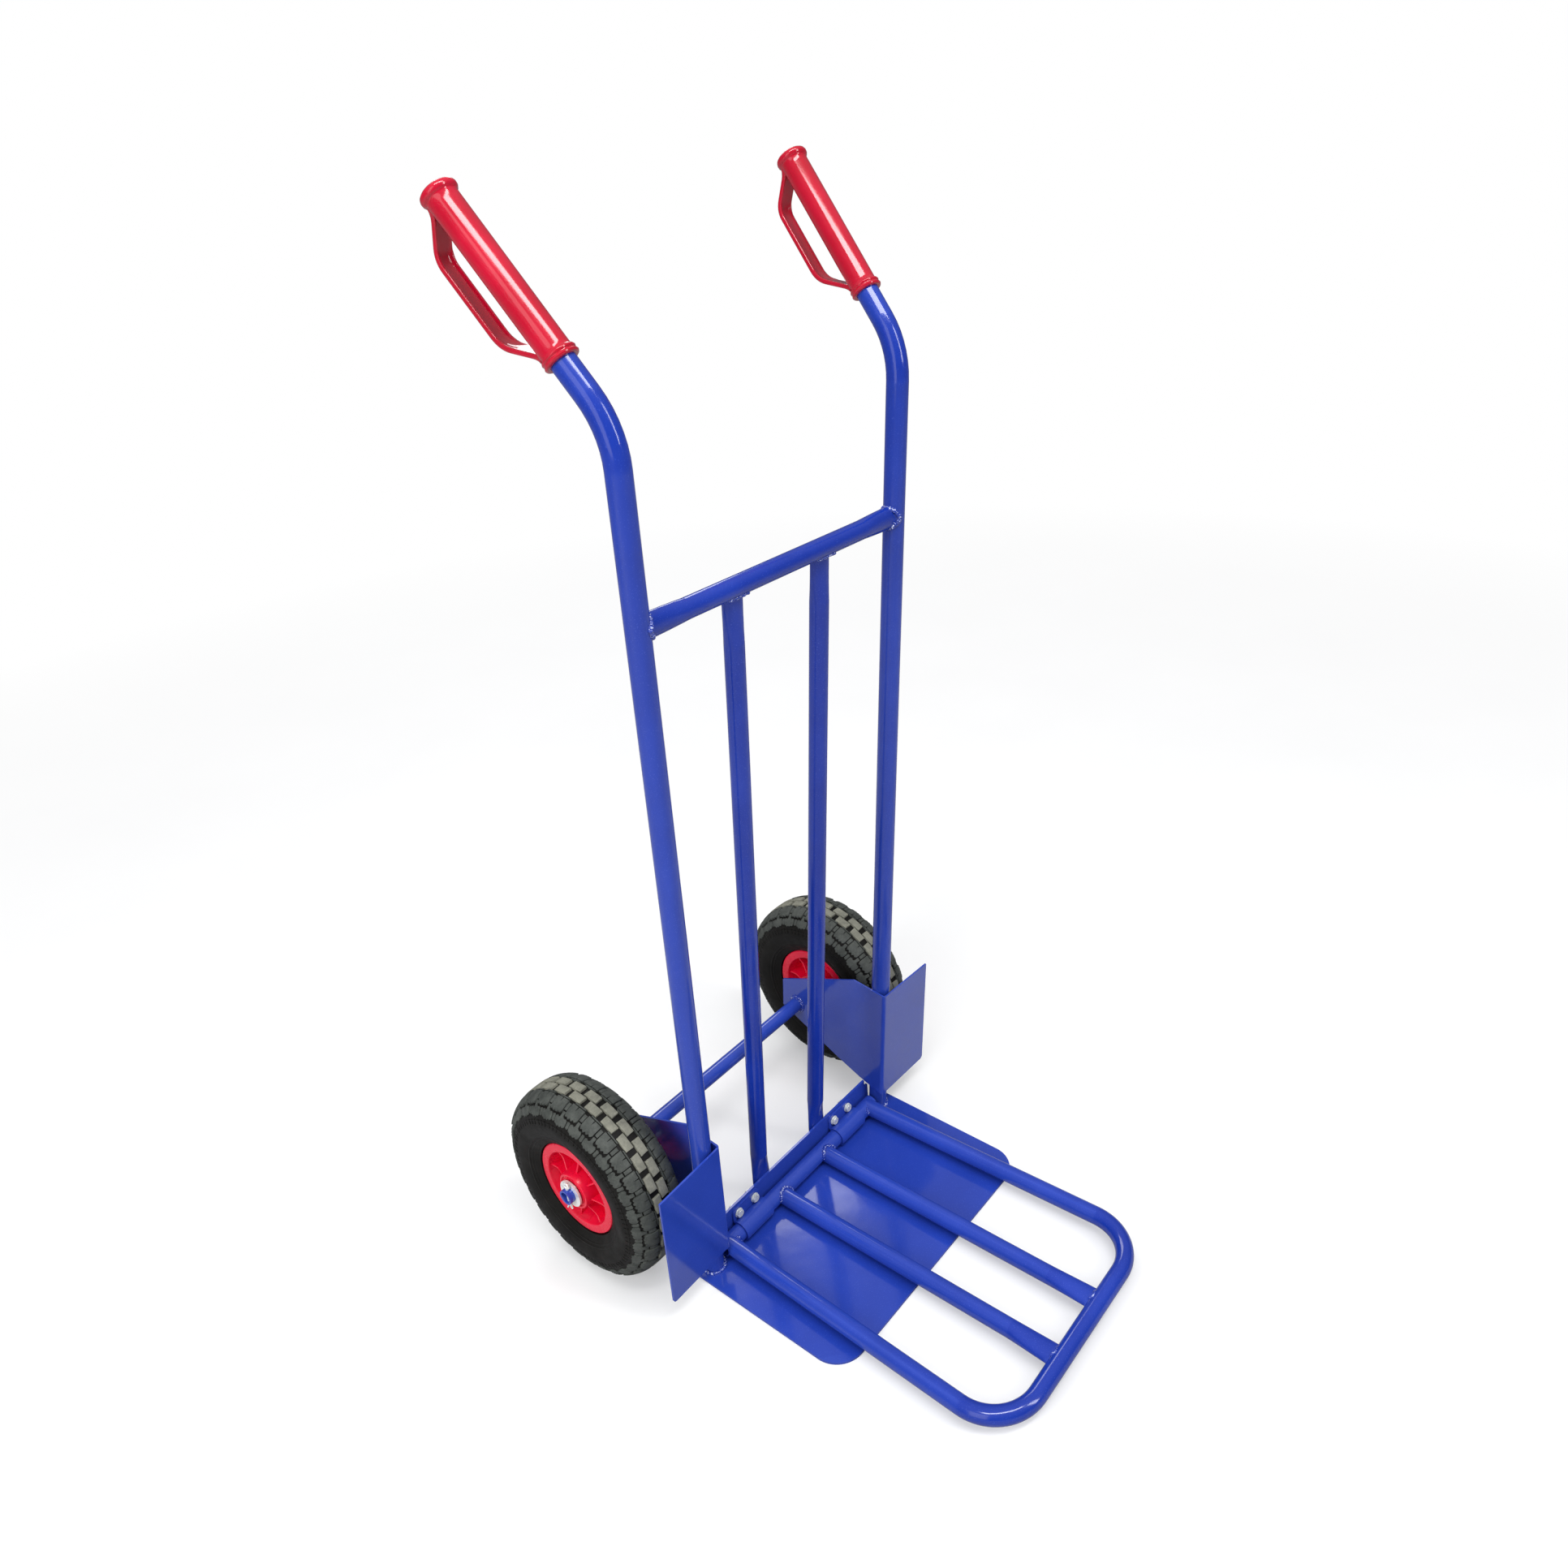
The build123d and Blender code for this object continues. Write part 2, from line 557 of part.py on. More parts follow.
# ---- grips: moulded sleeve with closed cap and knuckle guard ----------
def make_grip():
    # outline of the sleeve in (radius, t), solid; the handle bore is cut last
    t0, t1 = GRIP_START, GRIP_CAP
    te = HANDLE_LEN
    pts = [
        (0, t0), (15.4, t0), (16.8, t0 + 0.6), (17.4, t0 + 1.9), (16.8, t0 + 3.2), (15.8, t0 + 3.9),
        (15.8, t0 + 4.9), (16.7, t0 + 5.4), (17.2, t0 + 6.6), (16.6, t0 + 7.9), (15.4, t0 + 8.6),
        (GRIP_R, t0 + 9.6), (GRIP_R, t1 - 9.5), (15.6, t1 - 8.6), (17.1, t1 - 7.6), (17.9, t1 - 5.6),
        (17.8, t1 - 3.6), (16.6, t1 - 1.6), (13.6, t1 - 0.2), (8.0, t1 + 0.6), (0, t1 + 0.9),
    ]
    prof = make_face(Polyline(*pts, close=True))
    sleeve = revolve(Plane.XZ * prof, Axis.Z, 360)
    # knuckle guard band on the operator side; local +X points away from the axis
    pts = [(7.0, t1 - 10.0), (GUARD_N, 212.0), (GUARD_N, 120.0), (7.0, t0 + 11.5)]
    path = FilletPolyline(*[(a, 0, b) for a, b in pts], radius=11)
    d0 = Vector(pts[1][0] - pts[0][0], 0, pts[1][1] - pts[0][1])
    start = Plane(origin=(pts[0][0], 0, pts[0][1]), x_dir=(0, 1, 0), z_dir=d0)
    band = sweep(start * RectangleRounded(GUARD_W, GUARD_BAND, 1.8), path=path)
    core = extrude(Plane.XY.offset(t0 - 5) * Circle(UPR_D / 2), te - t0 + 5)
    body = (sleeve + band) - core
    rear = Vector(0, cos(radians(HANDLE_TILT)), -sin(radians(HANDLE_TILT)))
    loc = Plane(origin=KNEE, x_dir=rear, z_dir=HAND)
    return loc * body


grip = make_grip()
save("grip_right", grip)
save("grip_left", mirror_x(grip))
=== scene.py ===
import math
import random

import bpy
import bmesh
import numpy as np
from mathutils import Matrix, Vector
from mathutils.bvhtree import BVHTree


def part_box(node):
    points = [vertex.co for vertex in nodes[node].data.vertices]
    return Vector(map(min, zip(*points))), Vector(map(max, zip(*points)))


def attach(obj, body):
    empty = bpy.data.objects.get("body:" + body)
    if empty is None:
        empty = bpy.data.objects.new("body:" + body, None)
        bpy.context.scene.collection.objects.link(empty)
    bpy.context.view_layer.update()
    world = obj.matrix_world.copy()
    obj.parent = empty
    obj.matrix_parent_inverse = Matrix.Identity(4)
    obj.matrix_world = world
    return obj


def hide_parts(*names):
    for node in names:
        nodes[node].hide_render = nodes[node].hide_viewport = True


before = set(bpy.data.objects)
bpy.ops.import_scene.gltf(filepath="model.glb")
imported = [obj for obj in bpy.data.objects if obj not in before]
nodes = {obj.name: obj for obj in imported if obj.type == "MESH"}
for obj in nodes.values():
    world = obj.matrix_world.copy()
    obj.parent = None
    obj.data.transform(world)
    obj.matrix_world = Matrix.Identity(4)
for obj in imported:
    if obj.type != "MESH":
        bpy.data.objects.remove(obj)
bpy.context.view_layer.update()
MM = 0.001
rng = random.Random(7)


def centre(node):
    lo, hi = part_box(node)
    return (lo + hi) / 2


# ======================================================================
# materials
# ======================================================================
def new_mat(name):
    m = bpy.data.materials.new(name)
    m.use_nodes = True
    nt = m.node_tree
    for n in list(nt.nodes):
        nt.nodes.remove(n)
    out = nt.nodes.new("ShaderNodeOutputMaterial")
    b = nt.nodes.new("ShaderNodeBsdfPrincipled")
    nt.links.new(b.outputs[0], out.inputs[0])
    return m, nt, b


def coords(nt, scale=(1, 1, 1)):
    tc = nt.nodes.new("ShaderNodeTexCoord")
    mp = nt.nodes.new("ShaderNodeMapping")
    mp.inputs["Scale"].default_value = scale
    nt.links.new(tc.outputs["Object"], mp.inputs[0])
    return mp.outputs[0]


def noise(nt, vec, scale, detail=3.0, rough=0.55):
    n = nt.nodes.new("ShaderNodeTexNoise")
    n.inputs["Scale"].default_value = scale
    n.inputs["Detail"].default_value = detail
    n.inputs["Roughness"].default_value = rough
    nt.links.new(vec, n.inputs["Vector"])
    return n.outputs["Fac"]


def ramp(nt, fac, stops):
    r = nt.nodes.new("ShaderNodeValToRGB")
    e = r.color_ramp.elements
    while len(e) < len(stops):
        e.new(0.5)
    for i, (p, c) in enumerate(stops):
        e[i].position = p
        e[i].color = (*c, 1) if len(c) == 3 else c
    nt.links.new(fac, r.inputs[0])
    return r.outputs[0]


def mix(nt, fac, a, b, mode="MIX"):
    m = nt.nodes.new("ShaderNodeMix")
    m.data_type = "RGBA"
    m.blend_type = mode
    for sock, v in ((m.inputs[0], fac), (m.inputs[6], a), (m.inputs[7], b)):
        if isinstance(v, (int, float)):
            sock.default_value = v
        elif isinstance(v, tuple):
            sock.default_value = (*v, 1)
        else:
            nt.links.new(v, sock)
    return m.outputs[2]


def maprange(nt, fac, a, b, c, d):
    m = nt.nodes.new("ShaderNodeMapRange")
    m.inputs[1].default_value, m.inputs[2].default_value = a, b
    m.inputs[3].default_value, m.inputs[4].default_value = c, d
    nt.links.new(fac, m.inputs[0])
    return m.outputs[0]


def bump(nt, b, height, strength, dist, prev=None):
    n = nt.nodes.new("ShaderNodeBump")
    n.inputs["Strength"].default_value = strength
    n.inputs["Distance"].default_value = dist
    nt.links.new(height, n.inputs["Height"])
    if prev is not None:
        nt.links.new(prev, n.inputs["Normal"])
    nt.links.new(n.outputs[0], b.inputs["Normal"])
    return n.outputs[0]


def set_in(b, **kw):
    for k, v in kw.items():
        b.inputs[k.replace("_", " ")].default_value = v


def blue_paint(name="blue_powder_coat", wave=0.26, rough=(0.11, 0.20), coat=0.28, glint_paint_and_bump=0.0):
    """Glossy powder coat: slight orange peel, cloudy gloss, fine specks, and a painted highlight: paler colour at sharp
    edges.
    """
    m, nt, b = new_mat(name)
    v = coords(nt)
    cloud = noise(nt, v, 9.0, 4.0)
    fine = noise(nt, v, 160.0, 2.0)
    col = ramp(nt, cloud, [(0.30, (0.0058, 0.027, 0.285)), (0.55, (0.0080, 0.034, 0.335)), (0.75, (0.012, 0.043, 0.385))])
    speck = noise(nt, v, 900.0, 0.0)
    sp = ramp(nt, speck, [(0.70, (0, 0, 0)), (0.76, (1, 1, 1))])
    col = mix(nt, maprange(nt, sp, 0, 1, 0.0, 0.35), col, (0.05, 0.10, 0.52))
    if glint_paint_and_bump:
        # painted glints: pale noise spots stand in for highlights sparkling on the weld crests
        painted_glint_mask = ramp(nt, noise(nt, v, 420.0, 1.0), [(0.60, (0, 0, 0)), (0.64, (1, 1, 1))])
        col = mix(nt, maprange(nt, painted_glint_mask, 0, 1, 0.0, 0.85), col, (0.55, 0.60, 0.82))
    # painted highlight: sharp edges (high pointiness) are mixed toward a paler blue, as if light caught them
    geo = nt.nodes.new("ShaderNodeNewGeometry")
    edge = ramp(nt, geo.outputs["Pointiness"], [(0.53, (0, 0, 0)), (0.60, (1, 1, 1))])
    col = mix(nt, maprange(nt, edge, 0, 1, 0.0, 0.30), col, (0.06, 0.12, 0.58))
    nt.links.new(col, b.inputs["Base Color"])
    nt.links.new(maprange(nt, noise(nt, v, 26.0, 3.0), 0.25, 0.75, rough[0], rough[1]), b.inputs["Roughness"])
    set_in(b, IOR=1.47, Coat_Weight=coat, Coat_Roughness=0.05, Coat_IOR=1.5)
    n1 = bump(nt, b, fine, 0.05 + glint_paint_and_bump, 0.0004)
    bump(nt, b, noise(nt, v, 34.0, 2.0), wave, 0.0010, n1)
    return m


def red_plastic(name="red_gloss_plastic", rough=(0.11, 0.20), stipple=0.02, coat=0.45, deep=((0.42, 0.0018, 0.017), (0.50, 0.0028, 0.025), (0.60, 0.0070, 0.037))):
    m, nt, b = new_mat(name)
    v = coords(nt)
    cloud = noise(nt, v, 14.0, 4.0)
    col = ramp(nt, cloud, [(0.30, deep[0]), (0.55, deep[1]), (0.78, deep[2])])
    grain = noise(nt, v, 620.0, 2.0)
    col = mix(nt, maprange(nt, grain, 0.35, 0.75, 0.0, 0.22), col, (0.50, 0.004, 0.020))
    nt.links.new(col, b.inputs["Base Color"])
    nt.links.new(maprange(nt, noise(nt, v, 60.0, 4.0), 0.25, 0.75, rough[0], rough[1]), b.inputs["Roughness"])
    set_in(b, IOR=1.46, Coat_Weight=coat, Coat_Roughness=0.06, Subsurface_Weight=0.05, Subsurface_Scale=0.002)
    b.inputs["Subsurface Radius"].default_value = (1.0, 0.2, 0.1)
    n1 = bump(nt, b, grain, stipple, 0.0003)
    bump(nt, b, noise(nt, v, 30.0, 2.0), 0.07, 0.0006, n1)
    return m


def rubber(name, lo, mid, hi, rough=(0.62, 0.85), dust=0.0, dust_col=(0.20, 0.19, 0.16), grain=0.35, spec=0.42):
    m, nt, b = new_mat(name)
    v = coords(nt)
    cloud = noise(nt, v, 22.0, 5.0, 0.65)
    col = ramp(nt, cloud, [(0.28, lo), (0.52, mid), (0.76, hi)])
    g = noise(nt, v, 420.0, 4.0, 0.6)
    if dust:
        d = ramp(nt, noise(nt, v, 90.0, 6.0, 0.7), [(0.38, (0, 0, 0)), (0.62, (1, 1, 1))])
        col = mix(nt, maprange(nt, d, 0, 1, dust * 0.35, dust), col, dust_col)
    col = mix(nt, maprange(nt, g, 0.3, 0.75, 0.0, 0.35), col, lo)
    nt.links.new(col, b.inputs["Base Color"])
    nt.links.new(maprange(nt, noise(nt, v, 55.0, 4.0), 0.25, 0.75, rough[0], rough[1]), b.inputs["Roughness"])
    set_in(b, IOR=1.5, Specular_IOR_Level=spec)
    n1 = bump(nt, b, g, grain, 0.0004)
    bump(nt, b, noise(nt, v, 70.0, 3.0), 0.25, 0.0008, n1)
    return m


def zinc(name, tint=(0.74, 0.75, 0.76), rough=(0.22, 0.42), metal=0.75):
    m, nt, b = new_mat(name)
    v = coords(nt)
    cloud = noise(nt, v, 130.0, 4.0)
    dark = tuple(c * 0.72 for c in tint)
    warm = (tint[0] * 1.02, tint[1] * 0.99, tint[2] * 0.90)
    col = ramp(nt, cloud, [(0.30, dark), (0.52, tint), (0.75, warm)])
    nt.links.new(col, b.inputs["Base Color"])
    set_in(b, Metallic=metal)
    nt.links.new(maprange(nt, noise(nt, v, 300.0, 3.0), 0.25, 0.75, rough[0], rough[1]), b.inputs["Roughness"])
    n1 = bump(nt, b, noise(nt, v, 900.0, 2.0), 0.20, 0.0002)
    bump(nt, b, noise(nt, v, 240.0, 2.0), 0.20, 0.0004, n1)
    return m


BLUE = blue_paint()
BLUE_SHEET = blue_paint("blue_coat_on_sheet", wave=0.10, rough=(0.09, 0.16))
BLUE_ROLLED = blue_paint("blue_coat_rippled", wave=0.95, rough=(0.10, 0.18), coat=1.0)
# the weld coat carries painted glints (pale spots standing in for highlights) and a stronger fine bump
WELD = blue_paint("blue_coat_on_weld", wave=0.55, rough=(0.05, 0.12), coat=1.0, glint_paint_and_bump=0.5)
RED = red_plastic()
RED_RIM = red_plastic("red_rim_plastic", rough=(0.22, 0.36), stipple=0.06, coat=0.12, deep=((0.74, 0.0024, 0.031), (0.84, 0.0034, 0.043), (0.92, 0.008, 0.057)))
WALL = rubber("tyre_sidewall", (0.0035, 0.0034, 0.0030), (0.0062, 0.0058, 0.0050), (0.0125, 0.0118, 0.0102), rough=(0.40, 0.60), dust=0.10, dust_col=(0.030, 0.028, 0.024), spec=0.16)
LUG = rubber("tyre_tread_lug", (0.013, 0.0150, 0.0140), (0.036, 0.041, 0.037), (0.070, 0.076, 0.069), rough=(0.50, 0.75), dust=0.45, dust_col=(0.135, 0.145, 0.130), spec=0.30)
WORN = rubber("tyre_tread_top", (0.070, 0.072, 0.060), (0.165, 0.166, 0.132), (0.270, 0.267, 0.210), dust=0.6, dust_col=(0.33, 0.325, 0.262), spec=0.3)
BUTYL = rubber("butyl_rubber", (0.008, 0.008, 0.008), (0.012, 0.012, 0.012), (0.02, 0.02, 0.02), rough=(0.45, 0.6))
ZINC = zinc("zinc_plated_steel")
BRIGHT = zinc("bright_zinc_pin", tint=(0.95, 0.95, 0.94), rough=(0.14, 0.28), metal=0.35)
BOLT = zinc("yellowish_zinc_bolt", tint=(0.80, 0.83, 0.78), rough=(0.20, 0.40), metal=0.40)

# ======================================================================
# mesh helpers
# ======================================================================
def make(name, verts, faces, mats, body, smooth=True, idx=None, sharp=None):
    me = bpy.data.meshes.new(name)
    me.from_pydata([tuple(v) for v in verts], [], faces)
    ob = bpy.data.objects.new(name, me)
    bpy.context.scene.collection.objects.link(ob)
    for m in mats if isinstance(mats, (list, tuple)) else [mats]:
        me.materials.append(m)
    if idx is not None:
        me.polygons.foreach_set("material_index", idx)
    bm = bmesh.new()
    bm.from_mesh(me)
    bmesh.ops.recalc_face_normals(bm, faces=bm.faces)
    bm.to_mesh(me)
    bm.free()
    me.polygons.foreach_set("use_smooth", [smooth] * len(me.polygons))
    if sharp is not None:
        me.set_sharp_from_angle(angle=math.radians(sharp))
    me.update()
    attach(ob, body)
    return ob


def revolve(profile, n, closed=True):
    """Closed (a, r) loop about the X axis, in metres, centred on the origin."""
    verts, faces = [], []
    k = len(profile)
    for i in range(n):
        c, s = math.cos(2 * math.pi * i / n), math.sin(2 * math.pi * i / n)
        verts += [(a, r * c, r * s) for a, r in profile]
    for i in range(n):
        j = (i + 1) % n
        for p in range(k if closed else k - 1):
            q = (p + 1) % k
            faces.append((i * k + p, i * k + q, j * k + q, j * k + p))
    return verts, faces


def rounded(points, radius, steps=4):
    """Closed outline with its corners rounded; radius is one number or one per point."""
    out = []
    n = len(points)
    for i in range(n):
        p = Vector(points[i])
        a, b = Vector(points[i - 1]), Vector(points[(i + 1) % n])
        rad = radius[i] if isinstance(radius, (list, tuple)) else radius
        if rad <= 0:
            out.append(tuple(p))
            continue
        u, w = (a - p), (b - p)
        t = min(rad, u.length * 0.45, w.length * 0.45)
        u, w = u.normalized() * t, w.normalized() * t
        for k in range(steps + 1):
            f = k / steps
            q = (p + u) * (1 - f) ** 2 + p * 2 * f * (1 - f) + (p + w) * f**2
            out.append(tuple(q))
    return out


def spline(points, per=8):
    """Catmull-Rom through open points."""
    p = [Vector(q) for q in points]
    p = [p[0] * 2 - p[1]] + p + [p[-1] * 2 - p[-2]]
    out = []
    for i in range(1, len(p) - 2):
        for k in range(per):
            t = k / per
            out.append(0.5 * ((2 * p[i]) + (p[i + 1] - p[i - 1]) * t + (2 * p[i - 1] - 5 * p[i] + 4 * p[i + 1] - p[i + 2]) * t**2 + (3 * p[i] - p[i - 1] - 3 * p[i + 1] + p[i + 2]) * t**3))
    out.append(p[-2])
    return out


def sweep(path, section, closed=False, ref=None):
    """Closed outline swept along a path. section(i, f) gives [(u, v)...] in metres.
    ref is a direction kept as the u axis."""
    path = [Vector(p) for p in path]
    n = len(path)
    verts, faces = [], []
    prev_u = None
    for i in range(n):
        if closed:
            t = (path[(i + 1) % n] - path[i - 1]).normalized()
        else:
            t = (path[min(i + 1, n - 1)] - path[max(i - 1, 0)]).normalized()
        if ref is not None:
            u = Vector(ref) - t * Vector(ref).dot(t)
        elif prev_u is None:
            u = t.orthogonal()
        else:
            u = prev_u - t * prev_u.dot(t)
        u.normalize()
        prev_u = u
        v = t.cross(u)
        sec = section(i, i / (n - 1))
        k = len(sec)
        verts += [path[i] + u * a + v * b for a, b in sec]
    m = n if closed else n - 1
    for i in range(m):
        j = (i + 1) % n
        for p in range(k):
            q = (p + 1) % k
            faces.append((i * k + p, i * k + q, j * k + q, j * k + p))
    if not closed:
        for base, flip in ((0, True), ((n - 1) * k, False)):
            c = sum((verts[base + p] for p in range(k)), Vector()) / k
            ci = len(verts)
            verts.append(c)
            for p in range(k):
                q = (p + 1) % k
                faces.append((base + q, base + p, ci) if flip else (base + p, base + q, ci))
    return verts, faces


def join_parts(parts):
    verts, faces, idx = [], [], []
    for v, f, m in parts:
        o = len(verts)
        verts += [Vector(q) for q in v]
        faces += [tuple(o + i for i in t) for t in f]
        idx += [m] * len(f)
    return verts, faces, idx


def moved(verts, mat):
    return [mat @ Vector(v) for v in verts]


def bvh(*names):
    verts, polys = [], []
    for n in names:
        me = nodes[n].data
        o = len(verts)
        verts += [v.co.copy() for v in me.vertices]
        polys += [tuple(o + i for i in p.vertices) for p in me.polygons]
    return BVHTree.FromPolygons(verts, polys)

# ======================================================================
# tyre: carcass, tread lugs, sidewall detail
# ======================================================================
CROWN_R = 126.6
# outer section of the carcass, (a, r) in mm, from the crown to the bead
SECT = spline([(0, CROWN_R), (9, 126.3), (16.5, 125.3), (23.5, 122.9), (30.2, 118.7), (36.0, 112.0), (39.4, 104.6), (41.1, 97.5), (41.3, 91.0), (39.6, 81.8), (36.4, 74.2), (33.2, 68.2)], 6)
SECT = [Vector((p[0], p[1])) for p in SECT]
_len = [0.0]
for p, q in zip(SECT, SECT[1:]):
    _len.append(_len[-1] + (q - p).length)


def on_tyre(s, t, h):
    """s: arc length from the crown across the tyre (sign = side), t: angle in radians,
    h: height above the carcass.  Millimetres, wheel axis along X."""
    side, s = (1 if s >= 0 else -1), abs(s)
    s = min(s, _len[-1] - 1e-6)
    i = max(0, next((k for k in range(1, len(_len)) if _len[k] >= s), len(_len) - 1) - 1)
    f = (s - _len[i]) / (_len[i + 1] - _len[i])
    p = SECT[i].lerp(SECT[i + 1], f)
    d = (SECT[min(i + 2, len(SECT) - 1)] - SECT[max(i - 1, 0)]).normalized()
    nrm = Vector((-d[1], d[0]))
    if nrm[1] < 0 and abs(nrm[0]) < 0.5 or nrm[0] < 0:
        nrm = -nrm
    if s < 0.5:
        nrm = Vector((0, 1))
    q = p + nrm * h
    return Vector((side * q[0], q[1] * math.cos(t), q[1] * math.sin(t)))


def lug(outline, h, step=4.0, bevel=0.55, sink=1.6, draft=0.35):
    """A raised tread block: closed outline in (s mm, t radians)."""
    pts = []
    n = len(outline)
    for i in range(n):
        p, q = outline[i], outline[(i + 1) % n]
        d = math.hypot(q[0] - p[0], (q[1] - p[1]) * CROWN_R)
        k = max(1, int(round(d / step)))
        pts += [(p[0] + (q[0] - p[0]) * j / k, p[1] + (q[1] - p[1]) * j / k) for j in range(k)]
    cs = sum(p[0] for p in pts) / len(pts)
    ct = sum(p[1] for p in pts) / len(pts)
    ws = max(abs(p[0] - cs) for p in pts)
    wt = max(abs(p[1] - ct) for p in pts) * CROWN_R

    def ring(inset, height):
        fs, ft = 1 - inset / ws, 1 - inset / wt
        return [on_tyre(cs + (p[0] - cs) * fs, ct + (p[1] - ct) * ft, height) for p in pts]

    rings = [ring(-draft, -sink), ring(-draft * 0.4, 0.25), ring(0.0, h - bevel), ring(bevel * 0.35, h - bevel * 0.3), ring(bevel * 1.1, h), ring(ws * 0.5, h + 0.02)]
    verts, faces = [], []
    k = len(pts)
    for r in rings:
        verts += r
    for a in range(len(rings) - 1):
        for i in range(k):
            j = (i + 1) % k
            faces.append((a * k + i, a * k + j, (a + 1) * k + j, (a + 1) * k + i))
    top = len(verts)
    verts.append(on_tyre(cs, ct, h + 0.03))
    verts.append(on_tyre(cs, ct, -sink))
    a = (len(rings) - 1) * k
    for i in range(k):
        j = (i + 1) % k
        faces.append((a + i, a + j, top))
        faces.append((j, i, top + 1))
    return verts, faces


def build_tyre(phase):
    parts = []
    # carcass with thin rings on the sidewall
    prof = [(p[0], p[1]) for p in SECT]
    ringed = []
    for i, (a, r) in enumerate(prof):
        add = 0.0
        for rc, w, hh in ((103.0, 0.9, 0.35), (78.0, 1.1, 0.6), (74.2, 0.8, 0.4)):
            add += hh * math.exp(-((r - rc) / w) ** 2) if a > 20 else 0
        ringed.append((a + add, r))
    # denser sampling where the rings are
    dense = []
    for (a0, r0), (a1, r1) in zip(prof, prof[1:]):
        k = 6 if a0 > 28 else 2
        for j in range(k):
            f = j / k
            a, r = a0 + (a1 - a0) * f, r0 + (r1 - r0) * f
            add = sum(hh * math.exp(-((r - rc) / w) ** 2) for rc, w, hh in ((103.0, 0.8, 0.35), (78.0, 1.0, 0.65), (74.2, 0.7, 0.45))) if a > 20 else 0
            dense.append((a + add, r))
    dense += [prof[-1], (31.9, 66.4), (31.5, 64.9), (27.0, 64.4), (26.6, 57.4), (21.2, 55.6)]
    inner = [(21.6, 66.6), (28.6, 73.6), (33.0, 84.0), (33.4, 98.0), (28.0, 111.6), (20.0, 118.4), (0.0, 121.2)]
    right = dense + inner
    left = [(-a, r) for a, r in reversed(right) if a > 1e-6]
    loop = right + left
    v, f = revolve([(a, r) for a, r in loop], 240)
    parts.append((v, f, 0))

    N = 29
    P = 2 * math.pi / N
    mm = 1.0 / CROWN_R
    half = 0.368 * P

    for k in range(N):
        t0 = phase + k * P
        for side in (1, -1):
            # centre row: straight blocks, staggered left to right
            tc = t0 + (0.25 if side > 0 else -0.25) * P
            hl = 10.1 * mm
            s0, s1 = side * 0.9, side * 11.5
            parts.append((*lug([(s0, tc - hl), (s1, tc - hl * 0.95), (s1, tc + hl * 0.95), (s0, tc + hl)], 3.25, bevel=0.45), 2))
            ts = tc + 0.5 * P
            # thin bar along the inner edge of each shoulder block
            parts.append((*lug([(side * 12.6, ts - half * 0.80), (side * 14.0, ts - half * 0.80), (side * 14.0, ts + half * 0.92), (side * 12.6, ts + half * 0.92)], 2.9, bevel=0.22, sink=1.2, draft=0.2), 1))
            # shoulder block: a slit in its inner edge, a toothed outer edge
            out = [(15.1, -1.0), (15.1, -0.07), (20.6, -0.05), (20.6, 0.05), (15.1, 0.07), (15.1, 1.0), (24.0, 1.02), (28.4, 1.0),
                   (30.9, 0.74), (29.4, 0.48), (31.9, 0.22), (29.9, -0.06), (32.2, -0.30), (30.1, -0.56), (31.2, -0.80), (28.6, -1.0), (22.0, -1.02)]
            parts.append((*lug([(side * q, ts + half * w) for q, w in out], 3.15, step=2.6, bevel=0.40, draft=0.25), 1))
            # filler in the channel between two shoulder blocks
            tf = ts + 0.5 * P
            parts.append((*lug([(side * 16.6, tf - 2.35 * mm), (side * 16.6, tf + 2.35 * mm), (side * 25.6, tf + 2.2 * mm), (side * 25.6, tf - 2.2 * mm)], 2.35, step=2.6, bevel=0.3, sink=1.2, draft=0.2), 1))
            # T-shaped panel running down the upper sidewall
            tee = [(27.2, -0.23), (27.2, 0.23), (32.8, 0.22), (34.6, 0.50), (33.4, 0.80), (35.4, 1.0), (39.5, 1.02), (43.0, 0.92), (44.6, 0.62), (43.2, 0.40), (45.8, 0.12),
                   (44.2, -0.16), (46.0, -0.44), (43.8, -0.66), (43.4, -0.94), (39.0, -1.02), (35.0, -0.98), (33.6, -0.72), (35.0, -0.44), (33.0, -0.23)]
            parts.append((*lug([(side * q, tf + half * w) for q, w in tee], 1.55, step=2.4, bevel=0.4, sink=1.0, draft=0.3), 1))
            # small panel under each shoulder block
            small = [(34.4, -0.20), (34.0, 0.05), (34.8, 0.24), (41.5, 0.25), (43.2, 0.04), (42.0, -0.24)]
            parts.append((*lug([(side * q, ts + half * w) for q, w in small], 1.1, step=2.4, bevel=0.35, sink=1.0, draft=0.3), 1))
            # short radial ribs lower on the sidewall
            for dt in (-0.30, 0.0, 0.30):
                tt = ts + dt * P
                parts.append((*lug([(side * 49.0, tt - 0.9 * mm), (side * 55.5, tt - 0.8 * mm), (side * 55.5, tt + 0.8 * mm), (side * 49.0, tt + 0.9 * mm)], 0.40, step=2.5, bevel=0.2, sink=0.7, draft=0.2), 0))
    return join_parts(parts)


